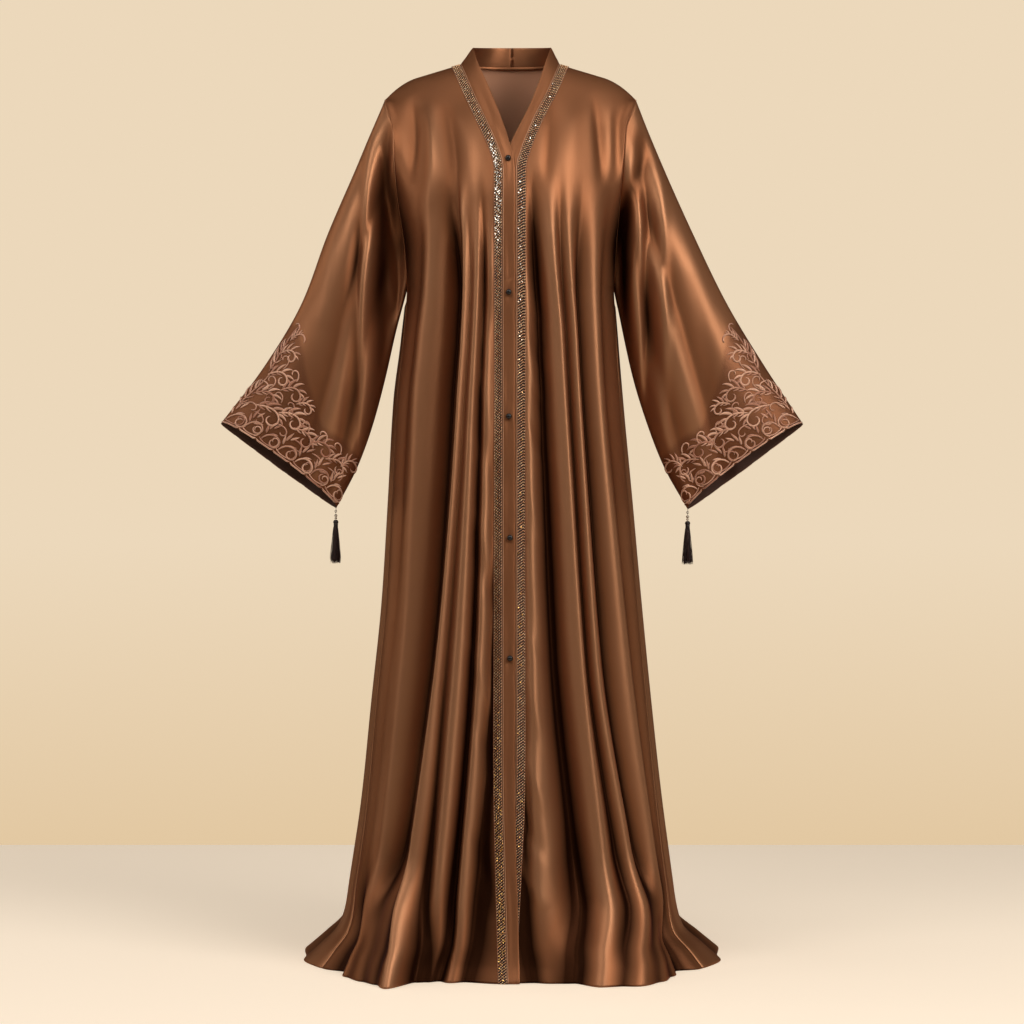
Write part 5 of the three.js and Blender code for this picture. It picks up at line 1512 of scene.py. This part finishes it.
def node(tree, kind, inputs=None, **settings):
    """A shader node with its settings and its inputs: a number, a colour or another node's
    output goes to each input named."""
    made = tree.nodes.new(kind)
    for name, value in settings.items():
        setattr(made, name, value)
    for name, value in (inputs or {}).items():
        if isinstance(value, bpy.types.NodeSocket):
            tree.links.new(value, made.inputs[name])
        else:
            made.inputs[name].default_value = value
    return made


def noise(tree, where, scale, detail=2.0, roughness=0.5):
    """Soft random values around a half."""
    return node(tree, "ShaderNodeTexNoise", {"Vector": where, "Scale": scale, "Detail": detail,
                                             "Roughness": roughness}).outputs["Fac"]


def maths(tree, operation, first, second=0.0, third=0.0):
    """One sum, product or other step; MULTIPLY_ADD adds the third value to the product."""
    return node(tree, "ShaderNodeMath", {0: first, 1: second, 2: third},
                operation=operation).outputs[0]


def ramp(tree, value, stops):
    """Colours along a value: stops are (place, colour)."""
    made = node(tree, "ShaderNodeValToRGB", {"Fac": value})
    points = made.color_ramp.elements
    while len(points) < len(stops):
        points.new(0.5)
    for point, (place, colour) in zip(points, stops):
        point.position = place
        point.color = (*colour, 1)
    return made.outputs["Color"]


def bump(tree, height, strength, distance, normal=None):
    """Relief from a value."""
    inputs = {"Height": height, "Strength": strength, "Distance": distance}
    if normal is not None:
        inputs["Normal"] = normal
    return node(tree, "ShaderNodeBump", inputs).outputs["Normal"]


def linear(red, green, blue):
    """A colour given in the 0 to 255 steps of a screen, as the light values a shader uses."""
    value = np.array([red, green, blue]) / 255
    light = np.where(value <= 0.04045, value / 12.92, ((value + 0.055) / 1.055) ** 2.4)
    return tuple(float(part) for part in light)


def coat(piece, material, slot_name):
    """Give a piece its material; slot_name, the name of its finish, is not used."""
    piece.data.materials.clear()
    piece.data.materials.append(material)


# %% Satin
# The valley colour is painted shade and the ridge colour is painted highlight; the face colour is
# the satin's own.
SATIN_COLOUR_AND_PAINTED_FOLD_LIGHT = {"valley": linear(38, 17, 7), "face": linear(144, 93, 62), "ridge": linear(172, 122, 88)}
SATIN_LOOK = {"metallic": 0.7, "roughness": 0.44, "uneven": 0.12, "specular": 0.6}
SATIN_TINT = linear(214, 142, 96)
THREAD_PITCH, WEAVE_DEPTH = 0.0007, 0.00004
TONE_SLOPE, TONE_LEVEL = 0.1, 0.56
CLOUDS = {"scale": 9.0, "depth": 0.16}
PUCKER = {"scale": 26.0, "strength": 0.12, "depth": 0.003}
GROUND, GROUND_SHARE = linear(92, 52, 38), 0.5
NETTING = {"scale": 260.0, "thread": 0.14, "strength": 0.4, "depth": 0.0004}


def satin(name):
    """Bronze satin: colour by how far the cloth stands out, painted darker in the valleys as shade
    and lighter on the ridges as highlight; threads by the flat map.
    """
    made, tree, shader = new_material(name)
    tone = node(tree, "ShaderNodeAttribute", attribute_name="tone").outputs["Fac"]
    flat = node(tree, "ShaderNodeUVMap", uv_map="cloth").outputs["UV"]
    place = node(tree, "ShaderNodeTexCoord").outputs["Object"]
    # Painted shade and highlight: the tone darkens the valleys, the armhole hollow and the hem, and
    # lightens the ridges.
    share = maths(tree, "MULTIPLY_ADD", tone, TONE_SLOPE, TONE_LEVEL)
    cloudy = maths(tree, "MULTIPLY_ADD", noise(tree, place, CLOUDS["scale"], 3.0),
                   CLOUDS["depth"], -CLOUDS["depth"] / 2)
    stops = [(0.0, SATIN_COLOUR_AND_PAINTED_FOLD_LIGHT["valley"]), (0.5, SATIN_COLOUR_AND_PAINTED_FOLD_LIGHT["face"]), (1.0, SATIN_COLOUR_AND_PAINTED_FOLD_LIGHT["ridge"])]
    colour = ramp(tree, maths(tree, "ADD", share, cloudy), stops)
    ground = node(tree, "ShaderNodeAttribute", attribute_name="ground").outputs["Fac"]
    cells = node(tree, "ShaderNodeTexVoronoi", {"Vector": place, "Scale": NETTING["scale"]},
                 feature="DISTANCE_TO_EDGE").outputs["Distance"]
    netting = maths(tree, "MULTIPLY", maths(tree, "LESS_THAN", cells, NETTING["thread"]), ground)
    blend = tree.nodes.new("ShaderNodeMix")
    blend.data_type = "RGBA"
    tree.links.new(maths(tree, "MULTIPLY", ground, GROUND_SHARE), blend.inputs[0])
    tree.links.new(colour, blend.inputs[6])
    blend.inputs[7].default_value = (*GROUND, 1)
    colour = blend.outputs[2]
    stretched = node(tree, "ShaderNodeMapping", {"Vector": flat, "Scale": (1.0, 0.12, 1.0)})
    threads = noise(tree, stretched.outputs["Vector"], 1 / THREAD_PITCH, 1.0)
    pucker = noise(tree, place, PUCKER["scale"], 4.0, 0.55)
    relief = bump(tree, pucker, PUCKER["strength"], PUCKER["depth"])
    relief = bump(tree, threads, 0.3, WEAVE_DEPTH, relief)
    rough = maths(tree, "MULTIPLY_ADD", threads, SATIN_LOOK["uneven"],
                  SATIN_LOOK["roughness"] - SATIN_LOOK["uneven"] / 2)
    relief = bump(tree, netting, NETTING["strength"], NETTING["depth"], relief)
    tree.links.new(colour, shader.inputs["Base Color"])
    tree.links.new(relief, shader.inputs["Normal"])
    tree.links.new(rough, shader.inputs["Roughness"])
    shader.inputs["Metallic"].default_value = SATIN_LOOK["metallic"]
    shader.inputs["Specular IOR Level"].default_value = SATIN_LOOK["specular"]
    shader.inputs["Specular Tint"].default_value = (*SATIN_TINT, 1)
    return made


def reverse_side(name, colour):
    """The dull back of satin, which lines every hollow, in a given colour: darker as painted shade
    or lighter as painted light.
    """
    made, tree, shader = new_material(name)
    place = node(tree, "ShaderNodeTexCoord").outputs["Object"]
    tree.links.new(bump(tree, noise(tree, place, 900.0, 2.0), 0.2, 0.0003),
                   shader.inputs["Normal"])
    shader.inputs["Base Color"].default_value = (*colour, 1)
    shader.inputs["Roughness"].default_value = 0.75
    return made


satin_cloth = satin("satin_cloth")
# The inside of the fronts and sleeves is the satin's matte reverse, painted darker as painted shade.
satin_reverse_with_painted_shade = reverse_side("satin_reverse_with_painted_shade", linear(72, 42, 28))
# The inside of the back is the satin's matte reverse, painted much lighter as painted light.
back_reverse_painted_light = reverse_side("back_reverse_painted_light", linear(222, 162, 126))
for name in panels:
    coat(panels[name][0], satin_cloth, "satin")
    panels[name][0].data.materials.append(back_reverse_painted_light if name == "cloth_back" else satin_reverse_with_painted_shade)
for side, piece in band_pieces.items():
    coat(piece, satin_cloth, "satin")
print("satin on", len(panels) + len(band_pieces), "pieces")


# %% [markdown]
# ## Finishes of the trimming
# Beads, sequins, buttons, silver and floss need no more than a colour, a shine and a little relief,
# so one function makes them all. The number kept at each corner, its tone, mixes two colours, and
# no two beads are quite alike. Thread wound over a core has a function of its own, because its
# fine stripes follow the flat map of each stroke.

# %% Small finishes
def plain(name, colour, metallic=0.0, roughness=0.5, second=None, relief=None):
    """A simple finish: one colour, or two mixed by the tone of the corners, with fine relief."""
    made, tree, shader = new_material(name)
    shader.inputs["Base Color"].default_value = (*colour, 1)
    shader.inputs["Metallic"].default_value = metallic
    shader.inputs["Roughness"].default_value = roughness
    if second is not None:
        tone = node(tree, "ShaderNodeAttribute", attribute_name="tone").outputs["Fac"]
        tree.links.new(ramp(tree, tone, [(0.0, colour), (1.0, second)]),
                       shader.inputs["Base Color"])
    if relief is not None:
        scale, strength, depth = relief
        place = node(tree, "ShaderNodeTexCoord").outputs["Object"]
        tree.links.new(bump(tree, noise(tree, place, scale, 2.0), strength, depth),
                       shader.inputs["Normal"])
    return made


def stitched(name, colour, second, pitch, metallic, roughness):
    """Thread wound over a core: stripes along the flat map make the single stitches."""
    made, tree, shader = new_material(name)
    flat = node(tree, "ShaderNodeUVMap", uv_map="cloth").outputs["UV"]
    parts = node(tree, "ShaderNodeSeparateXYZ", {"Vector": flat})
    around, along = parts.outputs["X"], parts.outputs["Y"]
    turn = maths(tree, "MULTIPLY", along, 2 * np.pi / pitch)
    lean = maths(tree, "MULTIPLY", around, 4 * np.pi / MM)
    wave = maths(tree, "SINE", maths(tree, "ADD", turn, lean))
    tone = node(tree, "ShaderNodeAttribute", attribute_name="tone").outputs["Fac"]
    tree.links.new(ramp(tree, tone, [(0.0, colour), (1.0, second)]), shader.inputs["Base Color"])
    tree.links.new(bump(tree, wave, 0.35, 0.00015), shader.inputs["Normal"])
    shader.inputs["Metallic"].default_value = metallic
    shader.inputs["Roughness"].default_value = roughness
    shader.inputs["Sheen Weight"].default_value = 0.3
    return made


bead_finish = plain("braid_beads", linear(222, 156, 108), 0.6, 0.32, second=linear(255, 214, 166))
tape_finish = plain("braid_tape", linear(44, 20, 10), 0.1, 0.6, relief=(1400.0, 0.5, 0.0003))
piping_finish = plain("piping", linear(184, 136, 102), 0.35, 0.4)
sequin_finish = plain("sequins", linear(232, 186, 112), 1.0, 0.16, second=linear(250, 246, 236))
button_finish = plain("button_gloss", linear(6, 4, 4), 0.0, 0.05, second=linear(110, 76, 52))
silver_finish = plain("silver", linear(196, 184, 168), 1.0, 0.22)
floss_finish = plain("floss", linear(26, 12, 10), 0.0, 0.45, second=linear(62, 32, 24))
rope_finish = stitched("braid_rope", linear(150, 100, 70), linear(150, 100, 70),
                       ROPE["pitch"] / 2 * MM, 0.4, 0.45)
thread_finish = stitched("embroidery_thread", linear(178, 120, 92), linear(232, 182, 152),
                         0.0006, 0.35, 0.4)
for name, piece in trim_pieces.items():
    kind = name.split("_")[0] + ("_" + name.split("_")[1] if name.startswith("braid") else "")
    finish, group = {"piping": (piping_finish, "satin"), "braid_beads": (bead_finish, "braid"),
                     "braid_rope": (rope_finish, "braid"),
                     "sequins": (sequin_finish, "metal")}[kind]
    coat(piece, finish, group)
for piece, flat, area in braid_sheets.values():
    coat(piece, tape_finish, "braid")
for piece in button_pieces.values():
    coat(piece, button_finish, "button")
for name, piece in tassel_pieces.items():
    metal = name.startswith("bead")
    coat(piece, silver_finish if metal else floss_finish, "metal" if metal else "floss")
for piece in stitch_pieces.values():
    coat(piece, thread_finish, "satin")
coat(neck_tape, satin_cloth, "satin")
print("finishes:", len(bpy.data.materials))

# %% [markdown]
# ## Floor, light and backdrop
# The floor is one plain cream plane whose far edge makes the horizon behind the hem. What is seen
# above it is the world: a cream that is a little deeper near the horizon. A lamp strong enough to
# make both as pale as this would wash out the cloth. So the world lights the garment only a little,
# and the floor's own glow is seen by the camera alone.

# %% Floor and world
CREAM, LOW_CREAM = linear(236, 216, 187), linear(226, 199, 160)
FLOOR_PALE, FLOOR_GLOW = linear(244, 232, 214), 0.44
WORLD_LIGHT = 0.04
HORIZON_RISE, HORIZON_LEVEL = 8.0, 1.1
floor_x, floor_y = FLOOR_SIDE / MM, FLOOR_BEHIND / MM
corners = np.array([[-floor_x, -floor_x, -FLOOR_DROP], [floor_x, -floor_x, -FLOOR_DROP],
                    [floor_x, floor_y, -FLOOR_DROP], [-floor_x, floor_y, -FLOOR_DROP]])
floor = put_mesh("floor", corners, np.array([[0, 1, 2, 3]]))
floor_paint, tree, shader = new_material("floor_paint")
shader.inputs["Base Color"].default_value = (*FLOOR_PALE, 1)
shader.inputs["Roughness"].default_value = 0.7
shader.inputs["Emission Color"].default_value = (*linear(250, 230, 204), 1)
seen_by = node(tree, "ShaderNodeLightPath").outputs["Is Camera Ray"]
tree.links.new(maths(tree, "MULTIPLY", seen_by, FLOOR_GLOW), shader.inputs["Emission Strength"])
floor.data.materials.append(floor_paint)

bpy.context.scene.view_settings.view_transform = "Standard"
world = bpy.data.worlds.new("world")
bpy.context.scene.world = world
world.use_nodes = True
tree = world.node_tree
tree.nodes.clear()
path = node(tree, "ShaderNodeLightPath")
lit = node(tree, "ShaderNodeBackground", {"Color": (*CREAM, 1), "Strength": WORLD_LIGHT})
ahead = node(tree, "ShaderNodeTexCoord").outputs["Generated"]
height = node(tree, "ShaderNodeSeparateXYZ", {"Vector": ahead}).outputs["Z"]
rise = maths(tree, "MULTIPLY_ADD", height, HORIZON_RISE, HORIZON_LEVEL)
seen = node(tree, "ShaderNodeBackground", {"Color": ramp(tree, rise, [(0.0, LOW_CREAM),
                                                                      (1.0, CREAM)]),
                                           "Strength": 1.0})
both = node(tree, "ShaderNodeMixShader", {0: path.outputs["Is Camera Ray"],
                                          1: lit.outputs[0], 2: seen.outputs[0]})
output = node(tree, "ShaderNodeOutputWorld", {"Surface": both.outputs[0]})
print("floor far edge at", FLOOR_BEHIND, "m")

# %% [markdown]
# ## Lights
# Satin shows its folds by the long highlights of large soft lamps. The strongest stands high at the
# right, with weaker ones beside it and at the left in front. Three at the side and behind draw the
# edges of skirt and sleeves, and one from above keeps the shoulders from falling dark. Each row has
# a place, a size, a power, and the height on the garment's middle line that the lamp looks at.

# %% Lights
LAMP_WARMTH = (1.0, 0.95, 0.91)
LIGHTS = table("x y z width height watts aim_z", [
    [2.2, -2.2, 0.2, 1.2, 1.6, 14, -0.6],
    [1.8, -1.8, 1.2, 1.6, 1.8, 42, -0.5],
    [-0.7, -2.4, 1.4, 1.2, 1.4, 13, -0.2],
    [-1.8, -1.8, 1.4, 1.2, 1.4, 19, -0.3],
    [-3.1, -0.8, 0.2, 1.2, 1.6, 10, -0.4],
    [-2.6, 1.1, 0.5, 1.4, 2.4, 12, -0.6],
    [2.9, 1.3, -0.2, 1.2, 2.4, 4, -0.6],
    [0.0, -0.6, 2.6, 1.6, 1.2, 12, -0.6]])
for number, (x, y, z, width, height, watts, aim_z) in enumerate(zip(*LIGHTS.values())):
    lamp = bpy.data.lights.new(f"soft_box_{number}", "AREA")
    lamp.shape = "RECTANGLE"
    lamp.size, lamp.size_y, lamp.energy = width, height, watts
    lamp.color = LAMP_WARMTH
    box = bpy.data.objects.new(f"soft_box_{number}", lamp)
    box.location = (x, y, z)
    box.rotation_euler = (np.arctan2(np.hypot(x, y), z - aim_z), 0, np.arctan2(x, -y))
    bpy.context.scene.collection.objects.link(box)
print("lights:", len(LIGHTS["x"]))

# %% [markdown]
# ## Bodies
# The size each sheet was cut to before it was sewn, the widest row and the longest column of its
# grid, is worked out with the sheet above. All pieces ride on the garment's one body, and each takes
# the place of its plain solid, so that the solids keep the sizes and these meshes keep the looks.

# %% Sheets and frame
for name, (piece, flat, area) in panels.items():
    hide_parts(name.replace("cloth_", ""))
    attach(piece, "root")
for side, piece in band_pieces.items():
    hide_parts("band_" + side)
    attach(piece, "root")
for side, (piece, flat, area) in braid_sheets.items():
    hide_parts("trim_" + side)
for piece in [*(sheet[0] for sheet in braid_sheets.values()), *trim_pieces.values(),
              *stitch_pieces.values(), neck_tape]:
    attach(piece, "root")
for node_name, piece in button_pieces.items():
    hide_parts(node_name)
    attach(piece, "root")
for side in SIGN:
    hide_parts("hanger_" + side)
    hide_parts("bead_" + side)
    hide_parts("tassel_" + side)
for piece in tassel_pieces.values():
    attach(piece, "root")
